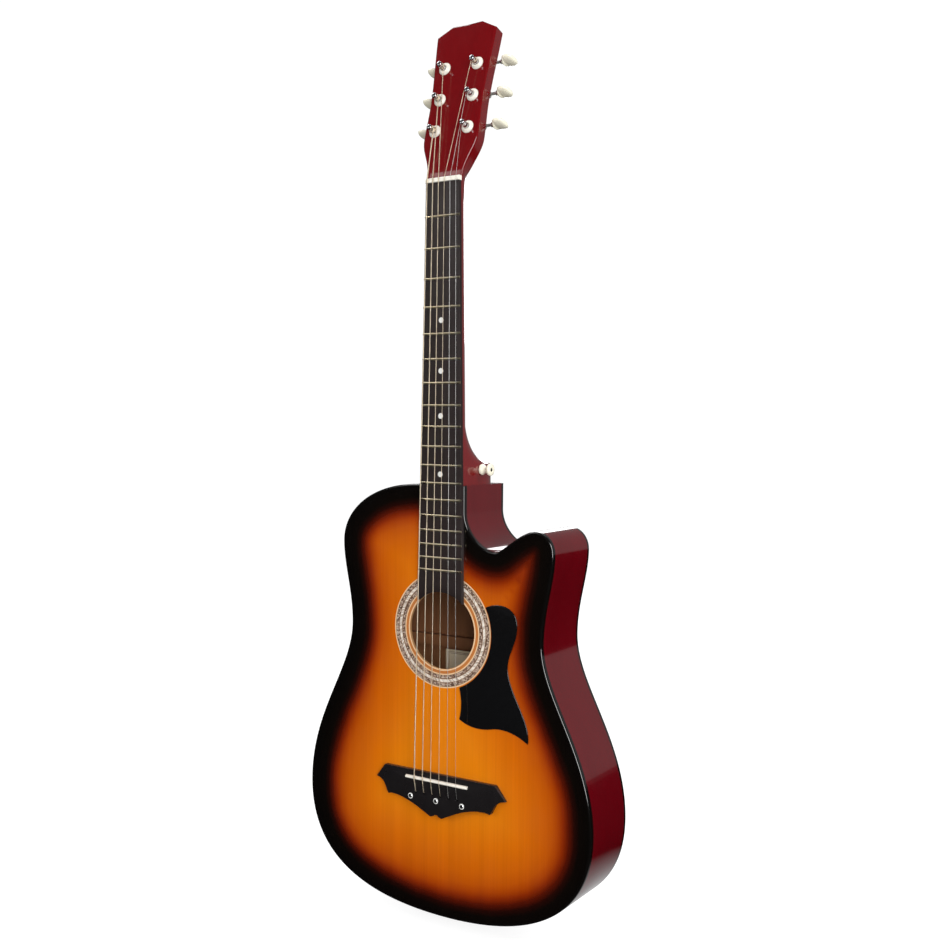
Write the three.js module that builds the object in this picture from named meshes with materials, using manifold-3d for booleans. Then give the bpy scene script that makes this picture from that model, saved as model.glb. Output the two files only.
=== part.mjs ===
// Cutaway acoustic guitar with six steel strings, in millimetres.
// +Z runs up the neck, the front faces -Y and the cutaway is on the +X (treble) side.
// The origin is at the tail end of the body, on the centre line, halfway through the depth.
import * as THREE from "three";
import { mergeVertices } from "three/addons/utils/BufferGeometryUtils.js";
import Module from "manifold-3d";

const wasm = await Module();
wasm.setup();

// Overall sizes
const SCALE = 630; // nut to bridge saddle, before compensation
const BODY_LENGTH = 463; // tail to the shoulder where the neck joins
const BODY_DEPTH = 79; // front of the soundboard to the back's outer face
const LOWER_BOUT = 360;
const WAIST = 243;
const UPPER_BOUT = 268;

// Body outline: heights from the tail, or drops from the shoulder
const LOWER_BOUT_HEIGHT = 119;
const WAIST_DROP = 157;
const UPPER_BOUT_DROP = 66;
const CUT_DROP = 67.5; // lowest point of the cutaway
const CUT_X = 66;
const HORN_DROP = 43.5;
const HORN_X = 113;
const CUT_WALL_GAP = 1.4; // cutaway wall beyond the fretboard's edge
const CUT_WALL_DROP = 28;

// Body walls
const TOP_THICK = 2.8;
const BACK_THICK = 2.8;
const SIDE_THICK = 2.2;
const BINDING_HEIGHT = 5;
const LINING_HEIGHT = 13;
const LINING_THICK = 6;
const TAIL_BLOCK = { width: 70, length: 16 };
const NECK_BLOCK_LENGTH = 50;
const BRACE = { width: 12, height: 9 };
const BACK_BRACE_DROP = 26; // soundhole centre to the upper back brace

// Soundhole and what surrounds it
const HOLE_RADIUS = 41.3;
const HOLE_DROP = 154.6; // shoulder to hole centre
const ROSETTE_MARGIN = 2.1; // bare wood between the hole and the inlay
const ROSETTE_WIDTH = 18;
const ROSETTE_DEPTH = 1.2;
const GUARD_THICK = 1.4;

// Neck and fretboard
const JOINT_OFFSET = 2; // twelfth fret above the shoulder
const NUT_WIDTH = 42.4;
const BOARD_WIDTH_AT_BODY = 52.4;
const BOARD_THICK = 4.6;
const FRET_COUNT = 18;
const FRET = { width: 2.2, height: 0.9, tang: 1.4 };
const NUT_LENGTH = 5;
const NUT_PROUD = 1.3; // nut top above the fretboard
const NECK_DEPTH_NUT = 17;
const NECK_DEPTH_BODY = 19;
// The heel's cap short of the back, its whole height, and the height of the block at its tip
const HEEL = { inset: 11, length: 62, tip: 22 };
const TENON = { width: 20, length: 20, inset: 21 }; // inset from both faces of the body

// Headstock
const HEAD_TILT = THREE.MathUtils.degToRad(14.2);
const HEAD_THICK = 15;
const HEAD_RISE = 2.5; // face ahead of the soundboard's plane at the nut
const HEAD_START = 7; // along the head, past the nut

// Tuners, measured along the head from the nut
const POST_X = 20.6;
const POST_FIRST = 59.2;
const POST_PITCH = 36.2;
const POST_RADIUS = 3;
const POST_PROUD = 13;
const BUSHING = { flange: 7, edge: 0.6, crown: 2, wall: 1.3, proud: 3.2, depth: 8 };
const PLATE_THICK = 1.2;
const PLATE_HALF = 9.5;
const PLATE_MARGIN = 14;
const GEAR_TEETH = 14;
const GEAR_RADIUS = 6.3;
const GEAR_THICK = 3.4;
const TOOTH_DEPTH = 1.1;
const WORM_RADIUS = 2.8;
const WORM_MESH_GAP = 0.4;
const SHAFT_RADIUS = 1.6;
const SHAFT_PAST_EAR = 1;
const SHAFT_SHY = 0.5; // shaft's end short of the bottom of its hole
const EAR = { thick: 1.2, offset: 7, half: 4.2 };
const BUTTON = { start: 39, length: 15, half: 10.5, thick: 7, bore: 6.5 };

// Bridge, its height above the soundboard and depth along the strings
const COMPENSATION = 2; // saddle past the scale length
const BRIDGE_HEIGHT = 9;
const BRIDGE_TIP_HEIGHT = 3.4;
const BRIDGE_BLOCK_HALF = 42;
const BRIDGE_HALF = 83;
const SADDLE = { length: 79, width: 3, proud: 2, slot: 4 };
const STRING_HOLE_SETBACK = 15;
const STRING_HOLE_RADIUS = 1.5;
const BOLT_SETBACK = 20.5;
const BOLT_PITCH = 33;
const BOLT = { head: 3, headHeight: 1.2, shank: 1.6, nut: 3.6, nutHeight: 2.6 };
const BOLT_HOLE_RADIUS = 2;
const BRIDGE_PLATE = { half: 62, front: 12, back: 32, thick: 2.5 };

// Strings, from the lowest to the highest
const STRING_RADII = [0.67, 0.53, 0.41, 0.31, 0.2, 0.15];
const STRING_SPREAD_NUT = 36;
const STRING_SPREAD_SADDLE = 53;
const STRING_POST_HEIGHT = 8; // above the head's face where a string meets its post
const BALL_RADIUS = 2;

// Strap holders
const STRAP_BUTTON = { flange: 6.6, waist: 4, length: 13 };
const STRAP_BUTTON_HEIGHT = 16; // above the shoulder
const STRAP_BUTTON_DEPTH = 35; // behind the soundboard's plane
const END_PIN = { flange: 7, waist: 4.2, length: 16, shaft: 4, shaftLength: 24 };

// Fits and fineness
const GAP = 0.3;
const CURVE_STEPS = 9;
const HOLE_SEGMENTS = 48;
const ROUND_SEGMENTS = 12;
const SMALL_SEGMENTS = 8;
const REACH = 600; // longer than any piece, for cutting boxes

// Planes and places that several pieces share
const FRONT = -BODY_DEPTH / 2;
const BACK = BODY_DEPTH / 2;
const NUT_Z = BODY_LENGTH + JOINT_OFFSET + SCALE / 2;
const SADDLE_Z = NUT_Z - SCALE - COMPENSATION;
const HOLE_Z = BODY_LENGTH - HOLE_DROP;
const BOARD_TOP = FRONT - BOARD_THICK;
const NUT_TOP = BOARD_TOP - NUT_PROUD;
const BRIDGE_TOP = FRONT - BRIDGE_HEIGHT;
const SADDLE_TOP = BRIDGE_TOP - SADDLE.proud;
const LINING_INSET = SIDE_THICK + LINING_THICK;
const CUT_WALL_X = BOARD_WIDTH_AT_BODY / 2 + CUT_WALL_GAP;
const ROSETTE_INNER = HOLE_RADIUS + ROSETTE_MARGIN;
const ROSETTE_OUTER = ROSETTE_INNER + ROSETTE_WIDTH;
const PLATE_BACK = HEAD_THICK + GAP + PLATE_THICK;
const GEAR_MIDDLE = PLATE_BACK + GAP + WORM_RADIUS;
const WORM_OFFSET = GEAR_RADIUS + WORM_RADIUS + WORM_MESH_GAP;

// Materials
const lacquer = (color) => new THREE.MeshStandardMaterial({ color, roughness: 0.2, metalness: 0 });
const plain = (color, roughness) => new THREE.MeshStandardMaterial({ color, roughness, metalness: 0 });
const metal = (color, roughness) => new THREE.MeshStandardMaterial({ color, roughness, metalness: 1 });
const SUNBURST = lacquer(0xd97c10);
const WINE = lacquer(0x5c0a18);
const CRIMSON = lacquer(0x6e0a12);
const BARE_WOOD = plain(0xc9a06a, 0.7);
const BLACK_GLOSS = lacquer(0x0c0a0b);
const EBONY = plain(0x1c1618, 0.45);
const WHITE_PLASTIC = plain(0xf2efe6, 0.35);
const CREAM_PLASTIC = plain(0xf3ead0, 0.3);
const MOSAIC = plain(0xb9b2a4, 0.3);
const CHROME = metal(0xd8d8dc, 0.12);
const STEEL = metal(0xc9c7c2, 0.3);

// ---------- solids and meshes ----------

// A manifold solid from a closed three.js geometry.
function solidOf(geometry) {
  const bare = new THREE.BufferGeometry();
  bare.setAttribute("position", geometry.getAttribute("position"));
  bare.setIndex(geometry.index);
  const merged = mergeVertices(bare, 1e-5);
  const corners = merged.index.array;
  const triVerts = [];
  for (let i = 0; i < corners.length; i += 3) {
    const [a, b, c] = [corners[i], corners[i + 1], corners[i + 2]];
    if (a !== b && b !== c && c !== a) triVerts.push(a, b, c);
  }
  const vertProperties = Float32Array.from(merged.getAttribute("position").array);
  const surface = new wasm.Mesh({ numProp: 3, vertProperties, triVerts: Uint32Array.from(triVerts) });
  return new wasm.Manifold(surface);
}

function geometryOf(solid) {
  const mesh = solid.getMesh();
  const geometry = new THREE.BufferGeometry();
  geometry.setAttribute("position", new THREE.BufferAttribute(Float32Array.from(mesh.vertProperties), 3));
  geometry.setIndex(new THREE.BufferAttribute(Uint32Array.from(mesh.triVerts), 1));
  return geometry;
}

function cut(geometry, tools) {
  return geometryOf(tools.reduce((solid, tool) => solid.subtract(solidOf(tool)), solidOf(geometry)));
}

function join(geometries) {
  const [first, ...others] = geometries.map(solidOf);
  return geometryOf(others.reduce((solid, other) => solid.add(other), first));
}

function common(a, b) {
  return geometryOf(solidOf(a).intersect(solidOf(b)));
}

// A box from its low and high corners.
function box(x0, y0, z0, x1, y1, z1) {
  const geometry = new THREE.BoxGeometry(x1 - x0, y1 - y0, z1 - z0);
  return geometry.translate((x0 + x1) / 2, (y0 + y1) / 2, (z0 + z1) / 2);
}

// A flat outline in X and Z, extruded from the plane y0 back to y1.
function plate(shape, y0, y1) {
  const options = { depth: y1 - y0, bevelEnabled: false, curveSegments: CURVE_STEPS };
  return new THREE.ExtrudeGeometry(shape, options).rotateX(Math.PI / 2).translate(0, y1, 0);
}

// A round bar along Y, from y0 to y1.
function barY(radius, x, z, y0, y1, sides) {
  const geometry = new THREE.CylinderGeometry(radius, radius, y1 - y0, sides);
  return geometry.translate(x, (y0 + y1) / 2, z);
}

// A solid turned about Y from [radius, y] pairs, given with y rising.
function turned(profile, sides) {
  return new THREE.LatheGeometry(profile.map(([radius, y]) => new THREE.Vector2(radius, y)), sides);
}

// A ring turned about Y, of a rectangular section.
function ring(inner, outer, y0, y1, sides) {
  return turned([[inner, y0], [outer, y0], [outer, y1], [inner, y1], [inner, y0]], sides);
}

function mesh(name, geometry, material) {
  const piece = new THREE.Mesh(geometry, material);
  piece.name = name;
  return piece;
}

// ---------- body outline ----------

// Handle lengths of the outline's curves. A longer handle makes a fuller curve.
const REACH_TAIL = 131;
const REACH_LOWER_BELOW = 70;
const REACH_LOWER_ABOVE = 81;
const REACH_WAIST_BELOW = 53;
const REACH_WAIST_ABOVE = 35;
const REACH_UPPER_BELOW = 28;
const REACH_UPPER_BASS = 37;
const REACH_SHOULDER = 61;
const REACH_UPPER_TREBLE = 12;
const REACH_HORN_OUTSIDE = 12;
const REACH_HORN_INSIDE = 17;
const REACH_HOLLOW_HORN = 7;
const REACH_HOLLOW_WALL = 17;
const REACH_WALL = 22;
const SHOULDER_X = 30;

// One cubic stretch of the outline. Each end has a direction and a handle length.
function stretch(from, fromDir, fromReach, to, toDir, toReach) {
  return new THREE.CubicBezierCurve(
    new THREE.Vector2(...from),
    new THREE.Vector2(from[0] + fromDir[0] * fromReach, from[1] + fromDir[1] * fromReach),
    new THREE.Vector2(to[0] - toDir[0] * toReach, to[1] - toDir[1] * toReach),
    new THREE.Vector2(...to),
  );
}

// Closed outline, anticlockwise in X and Z, starting at the tail.
function bodyOutline() {
  const UP = [0, 1];
  const IN = [-1, 0];
  const tail = [0, 0];
  const lower = [LOWER_BOUT / 2, LOWER_BOUT_HEIGHT];
  const waist = [WAIST / 2, BODY_LENGTH - WAIST_DROP];
  const upper = [UPPER_BOUT / 2, BODY_LENGTH - UPPER_BOUT_DROP];
  const shoulder = [SHOULDER_X, BODY_LENGTH];
  const half = (end) => [
    stretch(tail, [1, 0], REACH_TAIL, lower, UP, REACH_LOWER_BELOW),
    stretch(lower, UP, REACH_LOWER_ABOVE, waist, UP, REACH_WAIST_BELOW),
    stretch(waist, UP, REACH_WAIST_ABOVE, upper, UP, REACH_UPPER_BELOW),
    ...end,
  ];
  const horn = [HORN_X, BODY_LENGTH - HORN_DROP];
  const hollow = [CUT_X, BODY_LENGTH - CUT_DROP];
  const wall = [CUT_WALL_X, BODY_LENGTH - CUT_WALL_DROP];
  const treble = half([
    stretch(upper, UP, REACH_UPPER_TREBLE, horn, IN, REACH_HORN_OUTSIDE),
    stretch(horn, IN, REACH_HORN_INSIDE, hollow, IN, REACH_HOLLOW_HORN),
    stretch(hollow, IN, REACH_HOLLOW_WALL, wall, UP, REACH_WALL),
  ]);
  const bass = half([stretch(upper, UP, REACH_UPPER_BASS, shoulder, IN, REACH_SHOULDER)]);
  const sampled = (curves) => curves.flatMap((curve) => curve.getPoints(CURVE_STEPS).slice(1));
  const left = sampled(bass).map((p) => new THREE.Vector2(-p.x, p.y)).reverse();
  const wallTop = new THREE.Vector2(CUT_WALL_X, BODY_LENGTH);
  return [new THREE.Vector2(0, 0), ...sampled(treble), wallTop, ...left];
}

// The outline moved inwards by a distance, with mitred corners.
function inset(points, distance) {
  return points.map((point, i) => {
    const before = points[(i + points.length - 1) % points.length];
    const after = points[(i + 1) % points.length];
    const a = point.clone().sub(before).normalize();
    const b = after.clone().sub(point).normalize();
    const normal = new THREE.Vector2(-(a.y + b.y), a.x + b.x).normalize();
    const squareness = normal.x * -a.y + normal.y * a.x;
    return point.clone().addScaledVector(normal, distance / squareness);
  });
}

const OUTLINE = bodyOutline();

function insetShape(distance) {
  return new THREE.Shape(inset(OUTLINE, distance));
}

// A closed band between two insets of the outline.
function band(outer, inner, y0, y1) {
  const shape = insetShape(outer);
  shape.holes.push(new THREE.Path(inset(OUTLINE, inner).reverse()));
  return plate(shape, y0, y1);
}

function circlePath(x, z, radius, segments) {
  const points = [];
  for (let i = 0; i < segments; i += 1) {
    const angle = (-2 * Math.PI * i) / segments;
    points.push(new THREE.Vector2(x + radius * Math.cos(angle), z + radius * Math.sin(angle)));
  }
  return new THREE.Path(points);
}

// ---------- strings' places, used by the bridge, the top and the nut ----------

const STRING_COUNT = STRING_RADII.length;
const stringX = (i, spread) => spread * (i / (STRING_COUNT - 1) - 0.5);
const stringXAtSaddle = (i) => stringX(i, STRING_SPREAD_SADDLE);
const stringXAtNut = (i) => stringX(i, STRING_SPREAD_NUT);
const STRING_HOLE_Z = SADDLE_Z - STRING_HOLE_SETBACK;
const BOLT_Z = SADDLE_Z - BOLT_SETBACK;
const BOLT_XS = [-BOLT_PITCH, 0, BOLT_PITCH];

// Holes for the strings and the bolts, as paths in a flat shape.
function bridgeHoles() {
  const strings = STRING_RADII.map((_, i) =>
    circlePath(stringXAtSaddle(i), STRING_HOLE_Z, STRING_HOLE_RADIUS, SMALL_SEGMENTS));
  const bolts = BOLT_XS.map((x) => circlePath(x, BOLT_Z, BOLT_HOLE_RADIUS, SMALL_SEGMENTS));
  return [...strings, ...bolts];
}

// ---------- body ----------

function soundboard() {
  const shape = insetShape(SIDE_THICK);
  shape.holes.push(circlePath(0, HOLE_Z, HOLE_RADIUS, HOLE_SEGMENTS), ...bridgeHoles());
  const [y0, y1] = [FRONT - ROSETTE_DEPTH, FRONT + ROSETTE_DEPTH + GAP];
  const channel = ring(ROSETTE_INNER - GAP, ROSETTE_OUTER + GAP, y0, y1, HOLE_SEGMENTS);
  return cut(plate(shape, FRONT, FRONT + TOP_THICK), [channel.translate(0, 0, HOLE_Z)]);
}

function rosette() {
  const inlay = ring(ROSETTE_INNER, ROSETTE_OUTER, FRONT, FRONT + ROSETTE_DEPTH, HOLE_SEGMENTS);
  return inlay.translate(0, 0, HOLE_Z);
}

// One bent side: sign -1 is the bass half and +1 the treble half with the cutaway.
function side(sign) {
  const wall = band(0, SIDE_THICK, FRONT + BINDING_HEIGHT, BACK - BINDING_HEIGHT);
  const otherHalf = sign < 0 ? box(-GAP / 2, -REACH, -REACH, REACH, REACH, REACH)
    : box(-REACH, -REACH, -REACH, GAP / 2, REACH, REACH);
  const tenonHalf = TENON.width / 2 + GAP;
  const tenonGap = box(-tenonHalf, -REACH, BODY_LENGTH - LINING_INSET, tenonHalf, REACH, REACH);
  return cut(wall, [otherHalf, tenonGap, endPinHole()]);
}

function endPinHole() {
  const hole = new THREE.CylinderGeometry(END_PIN.shaft + GAP, END_PIN.shaft + GAP, REACH, ROUND_SEGMENTS);
  return hole.rotateX(Math.PI / 2);
}

// A block of the body's inside between the sides, notched round both linings.
function innerBlock(z0, z1, halfWidth) {
  const inside = plate(insetShape(SIDE_THICK + GAP), FRONT + TOP_THICK, BACK - BACK_THICK);
  const block = common(inside, box(-halfWidth, -REACH, z0, halfWidth, REACH, z1));
  const reach = LINING_INSET + GAP;
  const notches = [
    band(0, reach, FRONT - 1, FRONT + TOP_THICK + LINING_HEIGHT + GAP),
    band(0, reach, BACK - BACK_THICK - LINING_HEIGHT - GAP, BACK + 1),
  ];
  return cut(block, notches);
}

function neckBlock() {
  const tenonHalf = TENON.width / 2 + GAP;
  const mortise = box(-tenonHalf, FRONT + TENON.inset - GAP, BODY_LENGTH - TENON.length - GAP,
    tenonHalf, BACK - TENON.inset + GAP, REACH);
  return cut(innerBlock(BODY_LENGTH - NECK_BLOCK_LENGTH, BODY_LENGTH, CUT_WALL_X), [mortise]);
}

function tailBlock() {
  return cut(innerBlock(0, LINING_INSET + TAIL_BLOCK.length, TAIL_BLOCK.width / 2), [endPinHole()]);
}

// A brace across the body at height z, its ends following the linings.
function brace(z, y0, y1) {
  const bar = box(-REACH, y0, z - BRACE.width / 2, REACH, y1, z + BRACE.width / 2);
  return common(bar, plate(insetShape(LINING_INSET + 1), y0 - 1, y1 + 1));
}

function topBrace(z) {
  return brace(z, FRONT + TOP_THICK, FRONT + TOP_THICK + BRACE.height);
}

function backBrace(z) {
  return brace(z, BACK - BACK_THICK - BRACE.height, BACK - BACK_THICK);
}

function bodyPieces() {
  const liningBack = FRONT + TOP_THICK + LINING_HEIGHT;
  const liningFront = BACK - BACK_THICK - LINING_HEIGHT;
  const upperBraceZ = HOLE_Z + ROSETTE_OUTER + BRACE.width / 2;
  const middleBraceZ = HOLE_Z - ROSETTE_OUTER - BRACE.width / 2;
  const lowerBraceZ = SADDLE_Z - BRIDGE_PLATE.back - BRACE.width;
  return [
    mesh("soundboard", soundboard(), SUNBURST),
    mesh("back", plate(insetShape(SIDE_THICK), BACK - BACK_THICK, BACK), WINE),
    mesh("bass_side", side(-1), WINE),
    mesh("treble_side", side(1), WINE),
    mesh("top_binding", band(0, SIDE_THICK, FRONT, FRONT + BINDING_HEIGHT), BLACK_GLOSS),
    mesh("back_binding", band(0, SIDE_THICK, BACK - BINDING_HEIGHT, BACK), BLACK_GLOSS),
    mesh("top_lining", band(SIDE_THICK, LINING_INSET, FRONT + TOP_THICK, liningBack), BARE_WOOD),
    mesh("back_lining", band(SIDE_THICK, LINING_INSET, liningFront, BACK - BACK_THICK), BARE_WOOD),
    mesh("neck_block", neckBlock(), BARE_WOOD),
    mesh("tail_block", tailBlock(), BARE_WOOD),
    mesh("top_brace_upper", topBrace(upperBraceZ), BARE_WOOD),
    mesh("top_brace_middle", topBrace(middleBraceZ), BARE_WOOD),
    mesh("top_brace_lower", topBrace(lowerBraceZ), BARE_WOOD),
    mesh("back_brace_upper", backBrace(HOLE_Z - BACK_BRACE_DROP), BARE_WOOD),
    mesh("back_brace_lower", backBrace(LOWER_BOUT_HEIGHT), BARE_WOOD),
    mesh("rosette", rosette(), MOSAIC),
    mesh("pickguard", pickguard(), BLACK_GLOSS),
  ];
}

// ---------- pickguard ----------

const GUARD_CLEARANCE = 1.2; // bare wood between the rosette and the guard
const GUARD_ARC = [-68, 28].map(THREE.MathUtils.degToRad);
// Two handles and an end for each curve, in millimetres from the hole's centre
const GUARD_CURVES = [
  [70, 37, 93, 34, 93.6, 14],
  [94, -5, 82.5, -15, 82.7, -31],
  [83, -56, 112, -83, 107.3, -106],
  [99, -100, 80, -92, 62, -97],
  [48, -100, 34, -98, 23.7, -91.5],
];
const GUARD_LAST_HANDLES = [27.5, -79, 26, -67];

// Leaf-shaped guard whose inner edge follows the rosette.
function pickguard() {
  const radius = ROSETTE_OUTER + GUARD_CLEARANCE;
  const [low, high] = GUARD_ARC;
  const shape = new THREE.Shape();
  shape.absarc(0, 0, radius, low, high, false);
  for (const curve of GUARD_CURVES) shape.bezierCurveTo(...curve);
  shape.bezierCurveTo(...GUARD_LAST_HANDLES, radius * Math.cos(low), radius * Math.sin(low));
  return plate(shape, FRONT - GUARD_THICK, FRONT).translate(0, 0, HOLE_Z);
}

// ---------- bridge ----------

// Half of the bridge's outline, from the saddle line: X outwards and Z towards the neck.
const BRIDGE_OUTLINE = [[70.7, 6.7], [BRIDGE_HALF, -8.4], [74, -11], [69.5, -16.5], [65.5, -24.3],
  [55, -22.6], [42, -24.3], [28, -28.8], [14, -34.7], [7, -38.6], [0, -37.4]];

function bridgeShape() {
  const right = BRIDGE_OUTLINE.map(([x, z]) => new THREE.Vector2(x, z + SADDLE_Z));
  const left = right.slice(0, -1).map((p) => new THREE.Vector2(-p.x, p.y)).reverse();
  const shape = new THREE.Shape([...right, ...left].reverse());
  shape.holes.push(...bridgeHoles());
  return shape;
}

// Side view along Z: a level block in the middle and wings that fall to the tips.
function bridgeProfile() {
  const end = BRIDGE_HALF + 1;
  const heights = [[-end, -1], [end, -1], [end, BRIDGE_TIP_HEIGHT], [BRIDGE_BLOCK_HALF, BRIDGE_HEIGHT],
    [-BRIDGE_BLOCK_HALF, BRIDGE_HEIGHT], [-end, BRIDGE_TIP_HEIGHT]];
  const profile = new THREE.Shape(heights.map(([x, height]) => new THREE.Vector2(x, -height)).reverse());
  const geometry = new THREE.ExtrudeGeometry(profile, { depth: REACH, bevelEnabled: false });
  return geometry.translate(0, FRONT, SADDLE_Z - REACH / 2);
}

function saddleBox(margin) {
  const half = SADDLE.length / 2 + margin;
  const reach = SADDLE.width / 2 + margin;
  const bottom = BRIDGE_TOP + SADDLE.slot + margin;
  return box(-half, SADDLE_TOP, SADDLE_Z - reach, half, bottom, SADDLE_Z + reach);
}

function bridge() {
  const blank = common(plate(bridgeShape(), BRIDGE_TOP - 1, FRONT), bridgeProfile());
  return cut(blank, [saddleBox(GAP)]);
}

function bridgePlate() {
  const { half, front, back, thick } = BRIDGE_PLATE;
  const shape = new THREE.Shape([
    new THREE.Vector2(-half, SADDLE_Z - back), new THREE.Vector2(half, SADDLE_Z - back),
    new THREE.Vector2(half, SADDLE_Z + front), new THREE.Vector2(-half, SADDLE_Z + front),
  ]);
  shape.holes.push(...bridgeHoles());
  return plate(shape, FRONT + TOP_THICK, FRONT + TOP_THICK + thick);
}

function bolt(x) {
  const { head, headHeight, shank, nut, nutHeight } = BOLT;
  const seat = FRONT + TOP_THICK + BRIDGE_PLATE.thick;
  const profile = [[0, BRIDGE_TOP - headHeight], [head, BRIDGE_TOP - headHeight], [head, BRIDGE_TOP],
    [shank, BRIDGE_TOP], [shank, seat], [nut, seat], [nut, seat + nutHeight], [0, seat + nutHeight]];
  return turned(profile, ROUND_SEGMENTS).translate(x, 0, BOLT_Z);
}

function bridgePieces() {
  return [
    mesh("bridge", bridge(), BLACK_GLOSS),
    mesh("saddle", saddleBox(0), WHITE_PLASTIC),
    mesh("bridge_plate", bridgePlate(), BARE_WOOD),
    ...BOLT_XS.map((x, i) => mesh(`bridge_bolt_${i + 1}`, bolt(x), CHROME)),
  ];
}

// ---------- neck ----------

function boardHalf(z) {
  const share = (NUT_Z - z) / (NUT_Z - BODY_LENGTH);
  return (NUT_WIDTH + (BOARD_WIDTH_AT_BODY - NUT_WIDTH) * share) / 2;
}

// One cross-section of the neck: flat in front, a superellipse behind. Boxiness 0 is an ellipse.
const SECTION_STEPS = 12;
const sectionPower = (boxiness) => 1 - 0.58 * boxiness;
function neckSection({ z, half, front, depth, boxiness }) {
  const power = sectionPower(boxiness);
  const points = [];
  for (let i = 0; i <= SECTION_STEPS; i += 1) {
    const angle = (Math.PI * i) / SECTION_STEPS;
    const across = Math.sign(Math.cos(angle)) * Math.abs(Math.cos(angle)) ** power;
    const behind = i === 0 || i === SECTION_STEPS ? 0 : Math.sin(angle) ** power;
    points.push([half * across, front + depth * behind, z]);
  }
  return points;
}

// A closed solid through sections that all have the same number of points.
function loft(sections) {
  const count = sections[0].length;
  const positions = sections.flat(2);
  const index = [];
  for (let s = 0; s + 1 < sections.length; s += 1) {
    for (let i = 0; i < count; i += 1) {
      const [a, b] = [s * count + i, s * count + ((i + 1) % count)];
      index.push(a, b, b + count, a, b + count, a + count);
    }
  }
  const last = (sections.length - 1) * count;
  for (let i = 1; i + 1 < count; i += 1) {
    index.push(0, i + 1, i);
    index.push(last, last + i, last + i + 1);
  }
  const geometry = new THREE.BufferGeometry();
  geometry.setAttribute("position", new THREE.Float32BufferAttribute(positions, 3));
  geometry.setIndex(index);
  return geometry;
}

// The heel's section at a height above the shoulder: a full-depth block, then a hollow curve to the neck.
const HEEL_DEPTH = BODY_DEPTH - HEEL.inset;
const HEEL_CLIMBS = [0, 0.02, 0.07, 0.16, 0.3, 0.5, 0.75, 1];
const NECK_END_DROP = 25; // nut down to the last full section of the shaft
const SCARF = { rise: 26, behindFace: 2, shy: 1, thin: 5 }; // where the shaft runs out inside the head
function heelStation(height) {
  const z = BODY_LENGTH + height;
  const climb = Math.max(0, height - HEEL.tip) / (HEEL.length - HEEL.tip);
  const swell = (1 - Math.sqrt(climb)) ** 1.25;
  const depth = NECK_DEPTH_BODY + (HEEL_DEPTH - NECK_DEPTH_BODY) * swell;
  return { z, half: boardHalf(z), front: FRONT, depth, boxiness: swell ** 0.7 };
}

function neckShaft() {
  const heights = [0, ...HEEL_CLIMBS.map((climb) => HEEL.tip + climb * (HEEL.length - HEEL.tip))];
  const lastZ = NUT_Z - NECK_END_DROP;
  const nutHalf = boardHalf(NUT_Z);
  const { rise, behindFace, shy, thin } = SCARF;
  const scarfFront = FRONT - HEAD_RISE + rise * Math.tan(HEAD_TILT) + behindFace;
  const round = (z, half, front, depth) => ({ z, half, front, depth, boxiness: 0 });
  const stations = [
    ...heights.map(heelStation),
    round(lastZ, boardHalf(lastZ), FRONT, NECK_DEPTH_NUT),
    round(NUT_Z + NUT_LENGTH, nutHalf, FRONT, NECK_DEPTH_NUT),
    round(NUT_Z + rise, nutHalf - shy, scarfFront, HEAD_THICK - thin),
  ];
  return loft(stations.map(neckSection));
}

// The head's frame: Y out of its back, Z along it from the nut.
function headGroup() {
  const group = new THREE.Group();
  group.position.set(0, FRONT - HEAD_RISE, NUT_Z);
  group.rotation.x = -HEAD_TILT;
  group.updateMatrixWorld(true);
  return group;
}

const TUNER_ROWS = [0, 1, 2].map((row) => POST_FIRST + POST_PITCH * row);
const POST_PLACES = [
  ...TUNER_ROWS.map((s) => ({ sign: -1, s })),
  ...[...TUNER_ROWS].reverse().map((s) => ({ sign: 1, s })),
];

// Two handles and an end for each curve of the head's half outline, across and along the head
const HEAD_START_HALF = 22;
const HEAD_CURVES = [
  [23.5, 27, 34, 36, 34.2, 50],
  [34.2, 66, 32.6, 80, 33, 96],
  [33.4, 118, 36.6, 148, 37.6, 172],
];
const HEAD_PEAK = [17.5, 182];
const HEAD_NOTCH = [8, 181];

// Headstock outline: it flares, narrows, widens to the corners and ends in two low peaks.
function headShape() {
  const half = new THREE.Path();
  half.moveTo(HEAD_START_HALF, HEAD_START);
  for (const curve of HEAD_CURVES) half.bezierCurveTo(...curve);
  const right = half.getPoints(CURVE_STEPS);
  right.push(new THREE.Vector2(...HEAD_PEAK), new THREE.Vector2(...HEAD_NOTCH));
  const left = right.map((p) => new THREE.Vector2(-p.x, p.y)).reverse();
  const shape = new THREE.Shape([...right, ...left]);
  for (const { sign, s } of POST_PLACES) {
    shape.holes.push(circlePath(sign * POST_X, s, POST_RADIUS + GAP + BUSHING.wall + GAP, ROUND_SEGMENTS));
  }
  return shape;
}

function neck() {
  const head = plate(headShape(), 0, HEAD_THICK).applyMatrix4(headGroup().matrixWorld);
  const tenonHalf = TENON.width / 2;
  const tenon = box(-tenonHalf, FRONT + TENON.inset, BODY_LENGTH - TENON.length,
    tenonHalf, BACK - TENON.inset, BODY_LENGTH + 1);
  return join([neckShaft(), head, tenon]);
}

function fretZ(number) {
  return NUT_Z - SCALE * (1 - 2 ** (-number / 12));
}

function fret(number) {
  const z = fretZ(number);
  const half = boardHalf(z);
  const side = FRET.width / 2;
  const section = new THREE.Shape([
    new THREE.Vector2(-side, FRET.tang), new THREE.Vector2(-side, -FRET.height / 2),
    new THREE.Vector2(-side / 2, -FRET.height), new THREE.Vector2(side / 2, -FRET.height),
    new THREE.Vector2(side, -FRET.height / 2), new THREE.Vector2(side, FRET.tang),
  ]);
  const bar = new THREE.ExtrudeGeometry(section, { depth: 2 * half, bevelEnabled: false });
  return bar.rotateY(Math.PI / 2).translate(-half, BOARD_TOP, z);
}

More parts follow.
